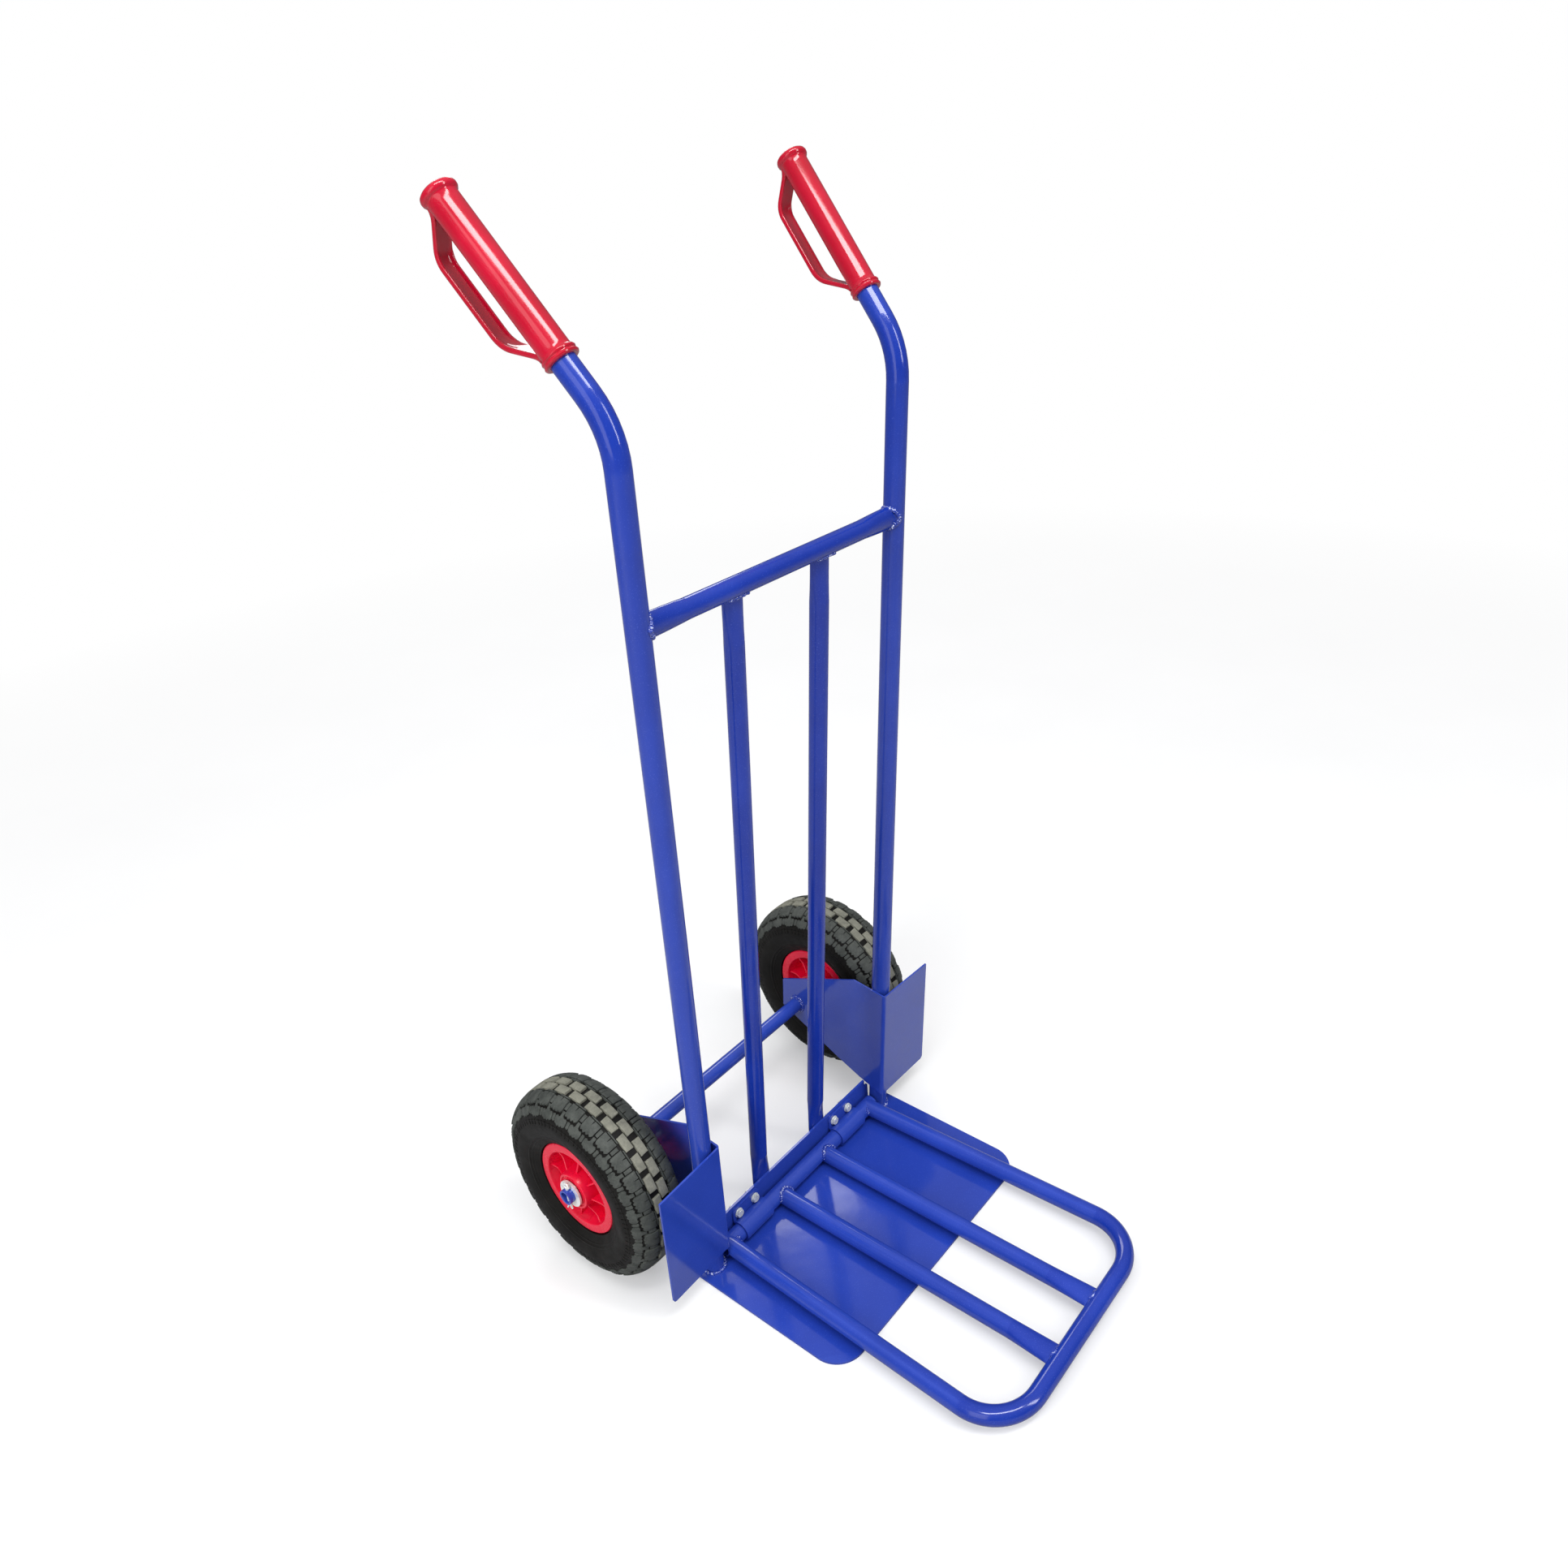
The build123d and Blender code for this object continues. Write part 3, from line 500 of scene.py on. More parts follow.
# ======================================================================
# rim: two moulded halves with pockets and ribs
# ======================================================================
def build_rim_half(side, rib_phase):
    prof = rounded(
        [(0.3, 13.3), (35.6, 13.3), (35.6, 18.6), (33.9, 19.0), (33.9, 21.0), (35.9, 21.4), (35.9, 24.0),
         (30.5, 25.4), (9.0, 27.6), (7.0, 42.4), (27.0, 50.3), (30.9, 51.5), (30.9, 62.4), (29.4, 63.4), (27.8, 63.4),
         (27.3, 60.0), (27.1, 56.8), (21.2, 55.1), (19.0, 53.6), (10.0, 49.8), (0.3, 49.8)],
        [0.3, 0.6, 0.5, 0.4, 0.4, 0.5, 0.9, 1.5, 2.5, 3.0, 1.6, 1.1, 1.1, 0.5, 0.5, 0.5, 0.5, 1, 0.5, 1.0, 0.3], 4)
    # split long runs so the revolve shades evenly
    loop = []
    for i in range(len(prof)):
        p, q = Vector(prof[i]), Vector(prof[(i + 1) % len(prof)])
        k = max(1, int((q - p).length / 4.0))
        loop += [tuple(p.lerp(q, j / k)) for j in range(k)]
    v, f = revolve(loop, 144)
    parts = [(v, f, 0)]
    # ribs: tapered plates from the boss to the lip, thicker at the root
    for k in range(8):
        ang = math.radians(45 * k + 22.5) + rib_phase
        outline = [(7.0, 25.0), (29.4, 24.6), (27.2, 32.0), (25.0, 41.0), (27.0, 51.0), (20.0, 49.0), (8.0, 44.2)]
        outline = rounded(outline, [0.2, 0.8, 3.0, 3.0, 0.3, 0.3, 0.3], 3)
        n = len(outline)
        verts, faces = [], []
        levels = [(-1.0, 0.0), (-0.72, 0.0), (0.72, 0.0), (1.0, 0.0)]
        for wsign, _ in levels:
            for (a, r) in outline:
                t = 1.9 - 0.028 * a           # draft: thinner toward the open side
                inset = 0.35 if abs(wsign) == 1.0 else 0.0
                aa = a - (inset if a > 20 else 0)
                verts.append(Vector((a if abs(wsign) < 1 else aa, r, wsign * t)))
        for L in range(3):
            for i in range(n):
                j = (i + 1) % n
                faces.append((L * n + i, L * n + j, (L + 1) * n + j, (L + 1) * n + i))
        faces.append(tuple(range(n))[::-1])
        faces.append(tuple(3 * n + i for i in range(n)))
        rot = Matrix.Rotation(ang, 4, "X")
        parts.append((moved(verts, rot), faces, 0))
    v, f, idx = join_parts(parts)
    if side < 0:
        v = [Vector((-p[0], p[1], p[2])) for p in v]
    return v, f, idx


for side, sx in (("left", -1), ("right", 1)):
    body = "wheel_" + side
    c = centre("tyre_" + side)
    place = Matrix.Translation(c) @ Matrix.Scale(MM, 4)
    spin = 0.35 if side == "left" else 1.1
    v, f, idx = build_tyre(spin)
    ty = make("tyre_tread_" + side, moved(v, place), f, [WALL, LUG, WORN], body, idx=idx, sharp=38)
    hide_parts("tyre_" + side)
    for half, hs in (("outer", sx), ("inner", -sx)):
        v, f, idx = build_rim_half(hs, math.radians(-14.3))
        rm = make("rim_%s_%s" % (half, side), moved(v, place), f, [RED_RIM], body, sharp=32)
        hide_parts("rim_%s_half_%s" % (half, side))

# ======================================================================
# handle grips: sleeve with bead collar, domed cap and knuckle guard
# ======================================================================
TILT = math.radians(38.36)
HAND = Vector((0.099, math.sin(TILT), math.cos(TILT))).normalized()
KNEE = Vector((171.5 + 0.0323 * 1068.0, -0.0633 * 1068.0, 1068.0))
REAR = Vector((0, math.cos(TILT), -math.sin(TILT)))
SIDE = HAND.cross(REAR).normalized()
T0, T1 = 70.0, 249.0


def build_grip():
    # (radius, t) of the sleeve, closed through the handle bore
    out = [(12.6, T0 + 0.2), (15.2, T0), (16.7, T0 + 0.9), (17.35, T0 + 2.2), (16.7, T0 + 3.6), (15.9, T0 + 4.2), (15.9, T0 + 4.8), (16.7, T0 + 5.5), (17.15, T0 + 6.8),
           (16.5, T0 + 8.1), (15.4, T0 + 9.0), (14.85, T0 + 10.6), (14.8, T0 + 16)]
    for k in range(1, 12):
        out.append((14.8, T0 + 16 + (T1 - 26 - T0) * k / 12))
    out += [(14.8, T1 - 10.6), (15.4, T1 - 9.2), (16.7, T1 - 8.1), (17.7, T1 - 6.3), (17.85, T1 - 4.2), (17.2, T1 - 2.3), (15.6, T1 - 0.95), (13.2, T1 - 0.25), (9.0, T1 + 0.45), (4.0, T1 + 0.8)]
    sm = []
    for i in range(len(out) - 1):
        sm += [out[i], tuple((Vector(out[i]) + Vector(out[i + 1])) / 2)]
    sm.append(out[-1])
    n = 72
    verts, faces = [], []
    ring = sm + [(12.6, T1 - 4.0)]
    k = len(sm)
    for i in range(n):
        c, s = math.cos(2 * math.pi * i / n), math.sin(2 * math.pi * i / n)
        verts += [Vector((r * c, r * s, t)) for r, t in sm] + [Vector((12.6 * c, 12.6 * s, T1 - 4.2))]
    m = k + 1
    top, bot = len(verts), len(verts) + 1
    verts += [Vector((0, 0, T1 + 0.9)), Vector((0, 0, T1 - 4.0))]
    for i in range(n):
        j = (i + 1) % n
        for p in range(k - 1):
            faces.append((i * m + p, i * m + p + 1, j * m + p + 1, j * m + p))
        faces.append((i * m + k - 1, top, j * m + k - 1))
        faces.append((i * m + k, i * m, j * m, j * m + k))
        faces.append((i * m + k, j * m + k, bot))
    parts = [(verts, faces, 0)]

    # knuckle guard: a flat band, bent twice, its two ends running into the sleeve
    def arc(a, b, c, rad, steps=7):
        a, b, c = Vector(a), Vector(b), Vector(c)
        u, w = (a - b).normalized(), (c - b).normalized()
        return [b + u * rad * (1 - f) ** 2 + w * rad * f**2 for f in (i / steps for i in range(steps + 1))]

    A, B, C, D = (9.0, T1 - 11.0), (45.0, 212.0), (45.0, 120.0), (9.0, T0 + 12.4)
    pts = [Vector(A)]
    first = arc(A, B, C, 11.0)
    second = arc(B, C, D, 13.0)
    la = (first[0] - Vector(A)).length
    pts += [Vector(A).lerp(first[0], i / 8) for i in range(1, 8)]
    pts += first
    pts += [first[-1].lerp(second[0], i / 16) for i in range(1, 16)]
    pts += second
    pts += [second[-1].lerp(Vector(D), i / 8) for i in range(1, 8)] + [Vector(D)]
    total = [0.0]
    for p, q in zip(pts, pts[1:]):
        total.append(total[-1] + (q - p).length)
    L = total[-1]
    s1 = total[len([0]) + 7 + 4]

    def sec(i, f):
        s = f and total[i] or 0.0
        # wider where the band runs into the sleeve
        root = max(0.0, 1 - s / 12.0) ** 2 + max(0.0, 1 - (L - s) / 12.0) ** 2
        w = 9.0 + 2.6 * root
        t = 2.5 + 1.5 * root
        mid = 1.0 if 38 < s < L - 38 else 0.0
        o = t + 0.45 * mid
        e = 1.3
        return [
            (-w + e, -t), (-w * 0.5, -t + 0.12), (0, -t + 0.18), (w * 0.5, -t + 0.12), (w - e, -t), (w - e * 0.3, -t + e * 0.3), (w, -t + e),
            (w, o - e), (w - e * 0.3, o - e * 0.3), (w - e, o), (w * 0.72, o - 0.10), (w * 0.62, o - 0.75 * mid - 0.1), (0, o - 0.85 * mid - 0.1), (-w * 0.62, o - 0.75 * mid - 0.1), (-w * 0.72, o - 0.10), (-w + e, o), (-w + e * 0.3, o - e * 0.3), (-w, o - e),
            (-w, -t + e), (-w + e * 0.3, -t + e * 0.3),
        ]

    path = [Vector((p[0], 0, p[1])) for p in pts]
    # u axis = band width (local Y); v = away from the sleeve
    v, f = sweep(path, sec, ref=(0, -1, 0))
    parts.append((v, f, 0))
    return join_parts(parts)


gv, gf, gi = build_grip()
for side, sx in (("left", -1), ("right", 1)):
    # local x = REAR, y = HAND x REAR, z = HAND
    m = Matrix((
        (REAR.x, SIDE.x, HAND.x, KNEE.x),
        (REAR.y, SIDE.y, HAND.y, KNEE.y),
        (REAR.z, SIDE.z, HAND.z, KNEE.z),
        (0, 0, 0, 1),
    ))
    flip = Matrix.Diagonal((sx, 1, 1, 1))
    g = make("grip_sleeve_" + side, moved(gv, Matrix.Scale(MM, 4) @ flip @ m), gf, [RED], "frame", sharp=50)
    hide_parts("grip_" + side)

# ======================================================================
# weld beads
# ======================================================================
def bead(name, path, r0, body, closed=False, ripple=2.6, seed=1, flat=0.85):
    """A ripply bead along a path in mm: overlapping scales of slightly varying size."""
    rg = random.Random(seed)
    path = [Vector(p) for p in path]
    if closed:
        path.append(path[0])
    # resample to an even spacing
    seg = [0.0]
    for p, q in zip(path, path[1:]):
        seg.append(seg[-1] + (q - p).length)
    L = seg[-1]
    n = max(8, int(L / 0.45))
    pts = []
    k = 0
    for i in range(n if closed else n + 1):
        s = L * i / n
        while k < len(seg) - 2 and seg[k + 1] < s:
            k += 1
        f = (s - seg[k]) / max(1e-9, seg[k + 1] - seg[k])
        pts.append(path[k].lerp(path[k + 1], f))
    count = max(3, round(L / ripple))
    amp = [rg.uniform(0.82, 1.20) for _ in range(count + 1)]
    offs = [Vector((rg.uniform(-1, 1), rg.uniform(-1, 1), rg.uniform(-1, 1))) * r0 * 0.16 for _ in range(count + 1)]
    amp[-1], offs[-1] = amp[0], offs[0]

    def fr(i):
        x = i / len(pts) * count
        a = int(x) % count
        return a, x - int(x)

    new = []
    for i, p in enumerate(pts):
        a, f = fr(i)
        new.append(p + offs[a].lerp(offs[a + 1], f))

    def sec(i, f_):
        a, f = fr(i)
        g = amp[a] * (1 - f) + amp[a + 1] * f
        scale = 0.80 + 0.26 * math.sin(math.pi * min(1.0, 0.15 + f * 0.95)) + 0.06 * f
        r = r0 * g * scale
        if not closed:
            e = min(i, len(pts) - 1 - i) * 0.45
            r *= min(1.0, 0.45 + e / (1.6 * r0))
        return [(r * math.cos(2 * math.pi * q / 12), r * flat * math.sin(2 * math.pi * q / 12)) for q in range(12)]

    v, f = sweep(new, sec, closed=closed)
    return make(name, [q * MM for q in v], f, [WELD], body)


def seam(tree, centre_mm, axis, radius, n=72, lift=0.0, limit=80.0, span=(0, 360), ref=None):
    """Points where a tube of that radius, running along axis from centre, meets the target."""
    axis = Vector(axis).normalized()
    u = (Vector(ref) - axis * Vector(ref).dot(axis)).normalized() if ref is not None else axis.orthogonal().normalized()
    w = axis.cross(u)
    out = []
    for i in range(n + (0 if span[1] - span[0] >= 360 else 1)):
        a = math.radians(span[0] + (span[1] - span[0]) * i / n)
        d = u * math.cos(a) + w * math.sin(a)
        o = Vector(centre_mm) + d * (radius + lift)
        hit, nrm, _, dist = tree.ray_cast(o * MM, axis, limit * MM)
        if hit is not None:
            out.append(hit / MM)
    return out


def smooth_path(p, closed, times=2):
    for _ in range(times):
        n = len(p)
        p = [(p[i - 1] + p[i] * 2 + p[(i + 1) % n]) / 4 if closed or 0 < i < n - 1 else p[i] for i in range(n)]
    return p


UPR = {s: bvh("upright_" + s) for s in ("left", "right")}
cb = centre("crossbar") / MM
for side, sx in (("left", -1), ("right", 1)):
    # crossbar to upright, all round
    p = seam(UPR[side], (sx * 165, cb.y, cb.z), (sx, 0, 0), 11.0, lift=0.6, ref=(0, 0, 1))
    if len(p) > 40:
        bead("weld_crossbar_" + side, smooth_path(p, True), 2.9, "frame", closed=True, seed=11 + sx)
    # upright foot to the toe plate
    tree = bvh("toe_plate")
    foot = Vector((sx * 171.5, 0, 0))
    up = Vector((sx * 0.0323, -0.0633, 1)).normalized()
    p = seam(tree, foot + up * 30, -up, 12.5, lift=0.7, ref=(0, -1, 0), span=(-150, 150))
    if len(p) > 20:
        bead("weld_foot_" + side, [q + Vector((0, 0, 0.9)) for q in p], 2.6, "frame", seed=21 + sx)
    # axle to the wheel guard, inner side
    tree = bvh("wheel_guard_" + side)
    ax = centre("axle") / MM
    p = seam(tree, (sx * 120, ax.y, ax.z), (sx, 0, 0), 10.0, lift=1.0, ref=(0, 0, 1))
    if len(p) > 40:
        bead("weld_axle_" + side, [q - Vector((sx * 0.9, 0, 0)) for q in smooth_path(p, True)], 2.5, "frame", closed=True, seed=31 + sx)
    # back tube top to the crossbar
    tree = bvh("crossbar")
    lo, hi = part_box("back_tube_" + side)
    bt = [v.co.copy() / MM for v in nodes["back_tube_" + side].data.vertices if v.co.z > hi.z - 0.012]
    cx = sum((q.x for q in bt), 0.0) / len(bt)
    wx = max(q.x for q in bt) - min(q.x for q in bt)
    for fy, nm in ((-1, "front"), (1, "rear")):
        pts = []
        for i in range(25):
            x = cx - wx / 2 - 1.0 + (wx + 2.0) * i / 24
            hit = tree.ray_cast(Vector((x, cb.y + fy * 6.0, cb.z - 40)) * MM, Vector((0, 0, 1)), 0.08)[0]
            if hit is not None:
                pts.append(hit / MM)
        if len(pts) > 10:
            bead("weld_back_top_%s_%s" % (nm, side), pts, 2.0, "frame", seed=41 + sx)

# ---- welds on the toe extension ---------------------------------------
tree_h = bvh("ext_hinge_tube")
hc = centre("ext_hinge_tube") / MM
for side, sx in (("left", -1), ("right", 1)):
    lo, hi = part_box("ext_inner_tube_" + side)
    x = sx * 44.5
    p = seam(tree_h, (x, hc.y - 60, 14.3), (0, 1, 0), 11.0, lift=0.5, ref=(0, 0, 1), span=(-82, 82), n=40)
    if len(p) > 12:
        bead("weld_toe_inner_" + side, p, 3.0, "toe_extension", seed=51 + sx)
    # on the two flanks only: the top of the hinge tube turns in against the flange
    for nm, a0, a1 in (("in", -100, -50), ("out", 50, 100)):
        p = seam(tree_h, (sx * 145.4, hc.y - 60, 17.4), (0, 1, 0), 11.0, lift=0.5, ref=(0, 0, 1), span=(a0, a1), n=18)
        if len(p) > 8:
            bead("weld_toe_outer_%s_%s" % (nm, side), p, 2.7, "toe_extension", seed=61 + sx)
    # inner tube to the front bar
    tree = bvh("ext_loop_tube")
    lo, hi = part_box("ext_loop_tube")
    p = seam(tree, (sx * 45.3, -380.0, 20.5), (0, -1, 0), 8.0, lift=0.5, ref=(0, 0, 1), span=(-95, 95), n=36)
    p = [q for q in p if abs(q.y + 417) < 16]
    if len(p) > 12:
        bead("weld_toe_front_" + side, p, 1.5, "toe_extension", seed=71 + sx, ripple=2.2)

# ---- tacks between guards and uprights --------------------------------
for side, sx in (("left", -1), ("right", 1)):
    up = Vector((sx * 0.0323, -0.0633, 1)).normalized()
    foot = Vector((sx * 171.5, 0, 0))
    # the guard's inner panel lies against the tube's inner side
    for k, z in enumerate((66.0, 182.0)):
        for dy, nm in ((1, "r"),):
            a = foot + up * z
            q = [a + up * (i * 1.6 - 14) + Vector((-sx * 10.2, dy * 7.6, 0)) for i in range(18)]
            bead("weld_guard_%s%d_%s" % (nm, k, side), q, 2.3, "frame", seed=81 + k + sx)

# ======================================================================
# strap bolts: chamfered hexagon heads with a washer face
# ======================================================================
def hex_head(af, h, chamfer=0.9, n=72):
    """Head standing on z = 0, axis +Z."""
    rc = af / 2
    rings = []

    def hexr(a):
        b = (a + math.pi / 6) % (math.pi / 3) - math.pi / 6
        return rc / math.cos(b)

    rr = []
    for i in range(n):
        a = 2 * math.pi * i / n
        rr.append((a, hexr(a)))
    rings.append([(r, 0.0) for a, r in rr])
    rings.append([(r, 0.35) for a, r in rr])
    rings.append([(r, h - 0.25 - max(0.0, (r - rc * 0.97)) * 0.58) for a, r in rr])
    rings.append([(r - 0.25 - (r - rc) * 0.4, h - 0.08 - max(0.0, (r - rc) * 0.30)) for a, r in rr])
    rings.append([(rc * 0.90, h) for a, r in rr])
    rings.append([(rc * 0.62, h - 0.02) for a, r in rr])
    rings.append([(rc * 0.52, h - 0.32) for a, r in rr])
    rings.append([(rc * 0.25, h - 0.36) for a, r in rr])
    verts, faces = [], []
    for ring in rings:
        for (a, _), (r, z) in zip(rr, ring):
            verts.append(Vector((r * math.cos(a), r * math.sin(a), z)))
    for L in range(len(rings) - 1):
        for i in range(n):
            j = (i + 1) % n
            faces.append((L * n + i, L * n + j, (L + 1) * n + j, (L + 1) * n + i))
    top, bot = len(verts), len(verts) + 1
    verts += [Vector((0, 0, h - 0.36)), Vector((0, 0, 0))]
    for i in range(n):
        j = (i + 1) % n
        faces.append(((len(rings) - 1) * n + i, (len(rings) - 1) * n + j, top))
        faces.append((j, i, bot))
    return verts, faces


def shank(r, z0, z1, pitch=1.0, n=36):
    """Threaded shank from z0 down to z1 (z1 < z0), a helical ridge on a core."""
    steps = int((z0 - z1) / (pitch / 6))
    verts, faces = [], []
    for k in range(steps + 1):
        z = z0 - (z0 - z1) * k / steps
        end = min(1.0, (steps - k) / 5.0)
        for i in range(n):
            a = 2 * math.pi * i / n
            ph = (z / pitch + a / (2 * math.pi)) % 1.0
            rr = (r - 0.30 + 0.30 * (1 - abs(2 * ph - 1))) * (0.86 + 0.14 * end)
            verts.append(Vector((rr * math.cos(a), rr * math.sin(a), z)))
    for k in range(steps):
        for i in range(n):
            j = (i + 1) % n
            faces.append((k * n + i, k * n + j, (k + 1) * n + j, (k + 1) * n + i))
    a, b = len(verts), len(verts) + 1
    verts += [Vector((0, 0, z0)), Vector((0, 0, z1))]
    for i in range(n):
        j = (i + 1) % n
        faces.append((j, i, a))
        faces.append((steps * n + i, steps * n + j, b))
    return verts, faces


FRONT_Y, BOLT_Z = 8.0, 35.0
parts = []
for sx in (-1, 1):
    for dx in (-15.0, 15.0):
        turn = Matrix.Rotation(rng.uniform(0, math.pi / 3), 4, "Z")
        # local z = -Y of the frame
        loc = Matrix.Translation((sx * 98.0 + dx, FRONT_Y, BOLT_Z)) @ Matrix.Rotation(math.pi / 2, 4, "X")
        v, f = hex_head(10.0, 4.6)
        parts.append((moved(v, loc @ turn), f, 0))
        # washer face under the head, dished a little
        v, f = revolve(rounded([(0.0, 0.4), (0.0, 6.4), (0.75, 6.5), (1.45, 4.9), (1.5, 0.4)], [0.05, 0.25, 0.35, 0.3, 0.05], 3), 60)
        parts.append((moved([(q[2], q[1], q[0]) for q in v], loc), f, 0))
        v, f = shank(3.0, 0.2, -14.9)
        parts.append((moved(v, loc), f, 0))
v, f, idx = join_parts(parts)
bolts = make("strap_bolt_set", [q * MM for q in v], f, [BOLT], "frame", sharp=28)
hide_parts("strap_bolts")

# ======================================================================
# finishes on the CAD nodes that stay
# ======================================================================
def finish_of(n):
    if n.startswith(("toe_plate", "hinge_strap")):
        return BLUE_SHEET
    if n.startswith("wheel_guard"):
        return BLUE_ROLLED if n.endswith("right") else BLUE_SHEET
    if n.startswith(("inner_tube", "valve")):
        return BUTYL
    if n.startswith(("split_pin", "outer_washer")):
        return BRIGHT
    if n.startswith(("hub_sleeve", "inner_washer", "outer_washer", "strap_", "axle_spacer")):
        return ZINC
    if n.startswith("grip") or n.startswith("rim"):
        return RED
    if n.startswith("tyre"):
        return WALL
    return BLUE


BEVEL = {"toe_plate": 0.5, "wheel_guard_left": 0.45, "wheel_guard_right": 0.45, "hinge_strap_left": 0.45, "hinge_strap_right": 0.45,
         "outer_washer_left": 0.3, "outer_washer_right": 0.3, "axle": 0.35, "strap_nuts": 0.4, "strap_washers": 0.25}
for n, o in nodes.items():
    o.data.materials.clear()
    o.data.materials.append(finish_of(n))
    if n in BEVEL:
        b = o.modifiers.new("edge", "BEVEL")
        b.width = BEVEL[n] * MM
        b.segments = 2
        b.limit_method = "ANGLE"
        b.angle_limit = math.radians(35)

# ======================================================================
# floor, light, camera
# ======================================================================
def floor():
    bm = bmesh.new()
    n, rings = 96, [0.0, 0.6, 1.2, 2.0, 3.2, 5.0, 8.0, 14.0, 26.0, 60.0]
    prev = None
    c = bm.verts.new((0, 0, -0.0004))
    for r in rings[1:]:
        ring = [bm.verts.new((r * math.cos(2 * math.pi * i / n), r * math.sin(2 * math.pi * i / n), -0.0004)) for i in range(n)]
        for i in range(n):
            j = (i + 1) % n
            bm.faces.new((c, ring[i], ring[j]) if prev is None else (prev[i], ring[i], ring[j], prev[j]))
        prev = ring
    me = bpy.data.meshes.new("studio_floor")
    bm.to_mesh(me)
    bm.free()
    ob = bpy.data.objects.new("studio_floor", me)
    bpy.context.scene.collection.objects.link(ob)
    m, nt, b = new_mat("studio_floor")
    v = coords(nt)
    col = ramp(nt, noise(nt, v, 3.0, 4.0), [(0.3, (0.90, 0.90, 0.90)), (0.7, (0.94, 0.94, 0.94))])
    path = nt.nodes.new("ShaderNodeLightPath")
    col = mix(nt, path.outputs["Is Camera Ray"], (0.40, 0.40, 0.41), col)
    nt.links.new(col, b.inputs["Base Color"])
    set_in(b, Roughness=0.75, Specular_IOR_Level=0.15)
    # fades to the backdrop's white with distance
    ln = nt.nodes.new("ShaderNodeVectorMath")
    ln.operation = "LENGTH"
    nt.links.new(v, ln.inputs[0])
    em = nt.nodes.new("ShaderNodeEmission")
    em.inputs[0].default_value = (1, 1, 1, 1)
    em.inputs[1].default_value = 1.0
    mx = nt.nodes.new("ShaderNodeMixShader")
    lift = nt.nodes.new("ShaderNodeMath")
    lift.operation = "MULTIPLY"
    nt.links.new(maprange(nt, ln.outputs["Value"], 0.5, 3.2, 0.30, 1.0), lift.inputs[0])
    nt.links.new(path.outputs["Is Camera Ray"], lift.inputs[1])
    nt.links.new(lift.outputs[0], mx.inputs[0])
    nt.links.new(b.outputs[0], mx.inputs[1])
    nt.links.new(em.outputs[0], mx.inputs[2])
    out = [q for q in nt.nodes if q.type == "OUTPUT_MATERIAL"][0]
    nt.links.new(mx.outputs[0], out.inputs[0])
    me.materials.append(m)


floor()

world = bpy.data.worlds.new("studio")
bpy.context.scene.world = world
world.use_nodes = True
wn = world.node_tree
for n in list(wn.nodes):
    wn.nodes.remove(n)
wo = wn.nodes.new("ShaderNodeOutputWorld")
bg_cam = wn.nodes.new("ShaderNodeBackground")
bg_cam.inputs[0].default_value = (1, 1, 1, 1)
bg_cam.inputs[1].default_value = 1.0
bg = wn.nodes.new("ShaderNodeBackground")
tc = wn.nodes.new("ShaderNodeTexCoord")
sp = wn.nodes.new("ShaderNodeSeparateXYZ")
wn.links.new(tc.outputs["Generated"], sp.inputs[0])
rp = wn.nodes.new("ShaderNodeValToRGB")
el = rp.color_ramp.elements
el[0].position, el[0].color = 0.0, (0.55, 0.55, 0.56, 1)
el[1].position, el[1].color = 1.0, (0.92, 0.93, 0.95, 1)
e2 = el.new(0.5)
e2.color = (0.42, 0.42, 0.44, 1)
e3 = el.new(0.72)
e3.color = (0.50, 0.51, 0.53, 1)
mr = wn.nodes.new("ShaderNodeMapRange")
mr.inputs[1].default_value, mr.inputs[2].default_value = -1, 1
wn.links.new(sp.outputs["Z"], mr.inputs[0])
wn.links.new(mr.outputs[0], rp.inputs[0])
wn.links.new(rp.outputs[0], bg.inputs[0])
bg.inputs[1].default_value = 0.74
lp = wn.nodes.new("ShaderNodeLightPath")
rp2 = wn.nodes.new("ShaderNodeValToRGB")
e = rp2.color_ramp.elements
e[0].position, e[0].color = 0.0, (0.30, 0.30, 0.31, 1)
e[1].position, e[1].color = 1.0, (0.62, 0.63, 0.65, 1)
e4 = e.new(0.5)
e4.color = (0.13, 0.13, 0.14, 1)
e5 = e.new(0.70)
e5.color = (0.20, 0.20, 0.22, 1)
wn.links.new(mr.outputs[0], rp2.inputs[0])
bg_gl = wn.nodes.new("ShaderNodeBackground")
wn.links.new(rp2.outputs[0], bg_gl.inputs[0])
bg_gl.inputs[1].default_value = 1.0
mxg = wn.nodes.new("ShaderNodeMixShader")
wn.links.new(lp.outputs["Is Glossy Ray"], mxg.inputs[0])
wn.links.new(bg.outputs[0], mxg.inputs[1])
wn.links.new(bg_gl.outputs[0], mxg.inputs[2])
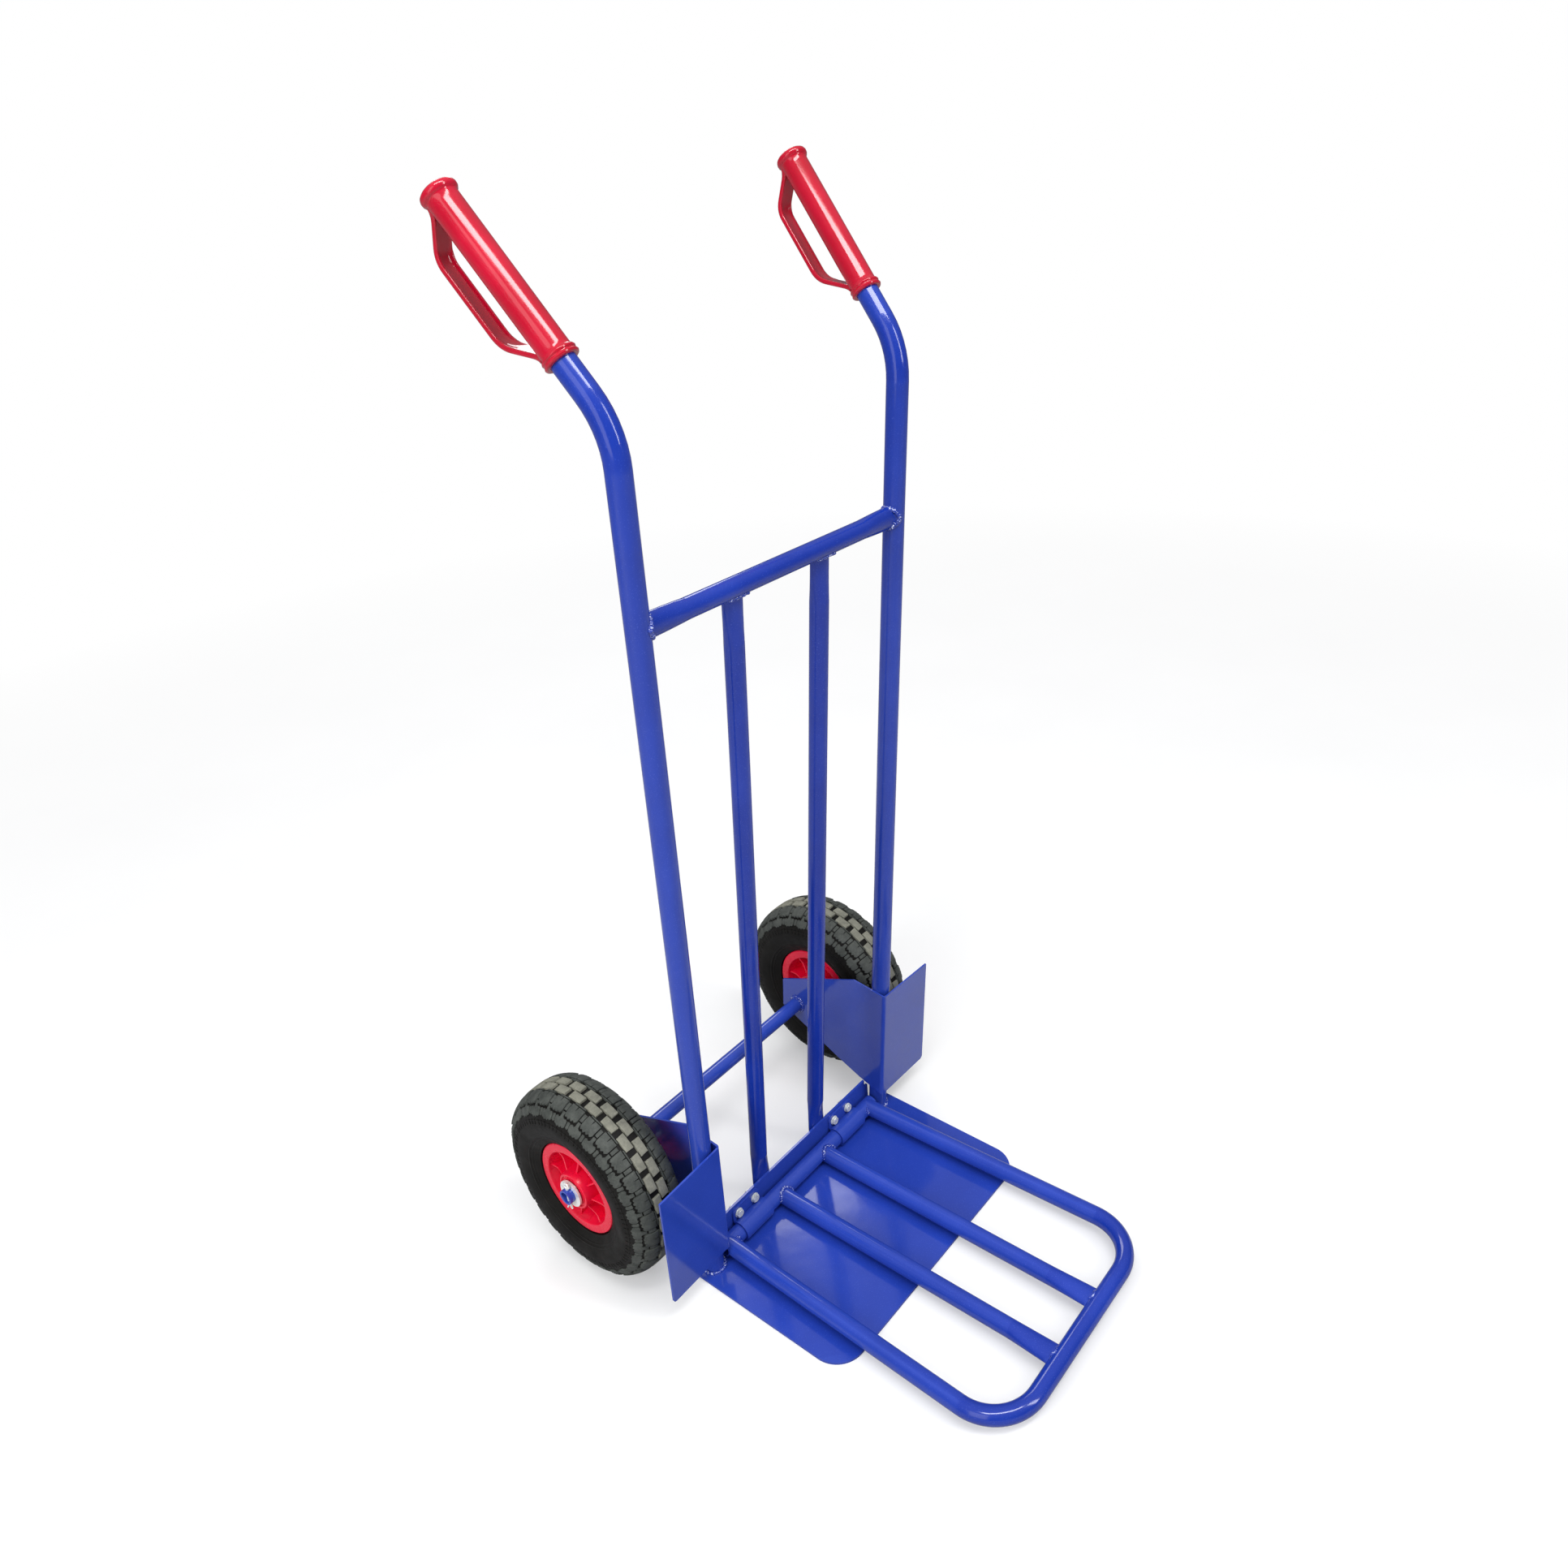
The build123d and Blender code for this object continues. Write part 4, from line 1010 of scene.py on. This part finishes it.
mxs = wn.nodes.new("ShaderNodeMixShader")
wn.links.new(lp.outputs["Is Camera Ray"], mxs.inputs[0])
wn.links.new(mxg.outputs[0], mxs.inputs[1])
wn.links.new(bg_cam.outputs[0], mxs.inputs[2])
wn.links.new(mxs.outputs[0], wo.inputs[0])


def area(name, pos, target, size, power, color=(1, 1, 1)):
    d = bpy.data.lights.new(name, "AREA")
    d.shape = "RECTANGLE"
    d.size, d.size_y = size
    d.energy = power
    d.color = color
    o = bpy.data.objects.new(name, d)
    bpy.context.scene.collection.objects.link(o)
    o.location = pos
    o.rotation_euler = (Vector(target) - Vector(pos)).to_track_quat("-Z", "Y").to_euler()
    return o


area("key_overhead", (-0.6, -1.2, 3.4), (0, 0, 0.4), (2.4, 0.6), 58)
area("panel_left", (-2.9, -0.9, 1.7), (0, 0, 0.6), (1.5, 2.8), 20)
area("fill_left", (-2.7, 0.2, 1.5), (0, 0, 0.4), (0.8, 2.4), 40).visible_glossy = False
area("strip_front", (0.7, -2.8, 2.2), (0, 0, 0.5), (0.5, 2.0), 30)
area("rear_fill", (1.6, 2.4, 2.6), (0, 0, 0.5), (1.6, 1.0), 22)

cam_d = bpy.data.cameras.new("camera")
cam = bpy.data.objects.new("camera", cam_d)
bpy.context.scene.collection.objects.link(cam)
R = Vector((0.62884348, -0.77444307, -0.06923733))
U = Vector((0.36158209, 0.21244157, 0.90781439))
Bk = Vector((-0.68834168, -0.59590814, 0.41361724))
cam.matrix_world = Matrix((
    (R.x, U.x, Bk.x, -0.8892),
    (R.y, U.y, Bk.y, -0.86385),
    (R.z, U.z, Bk.z, 1.2847),
    (0, 0, 0, 1),
))
cam_d.sensor_fit = "HORIZONTAL"
cam_d.sensor_width = 36.0
cam_d.lens = 28.18
cam_d.shift_x = -0.0213
cam_d.shift_y = -0.0601
cam_d.clip_end = 200
bpy.context.scene.camera = cam
bpy.context.scene.view_settings.view_transform = "Standard"
bpy.context.scene.view_settings.look = "None"

bpy.context.view_layer.update()
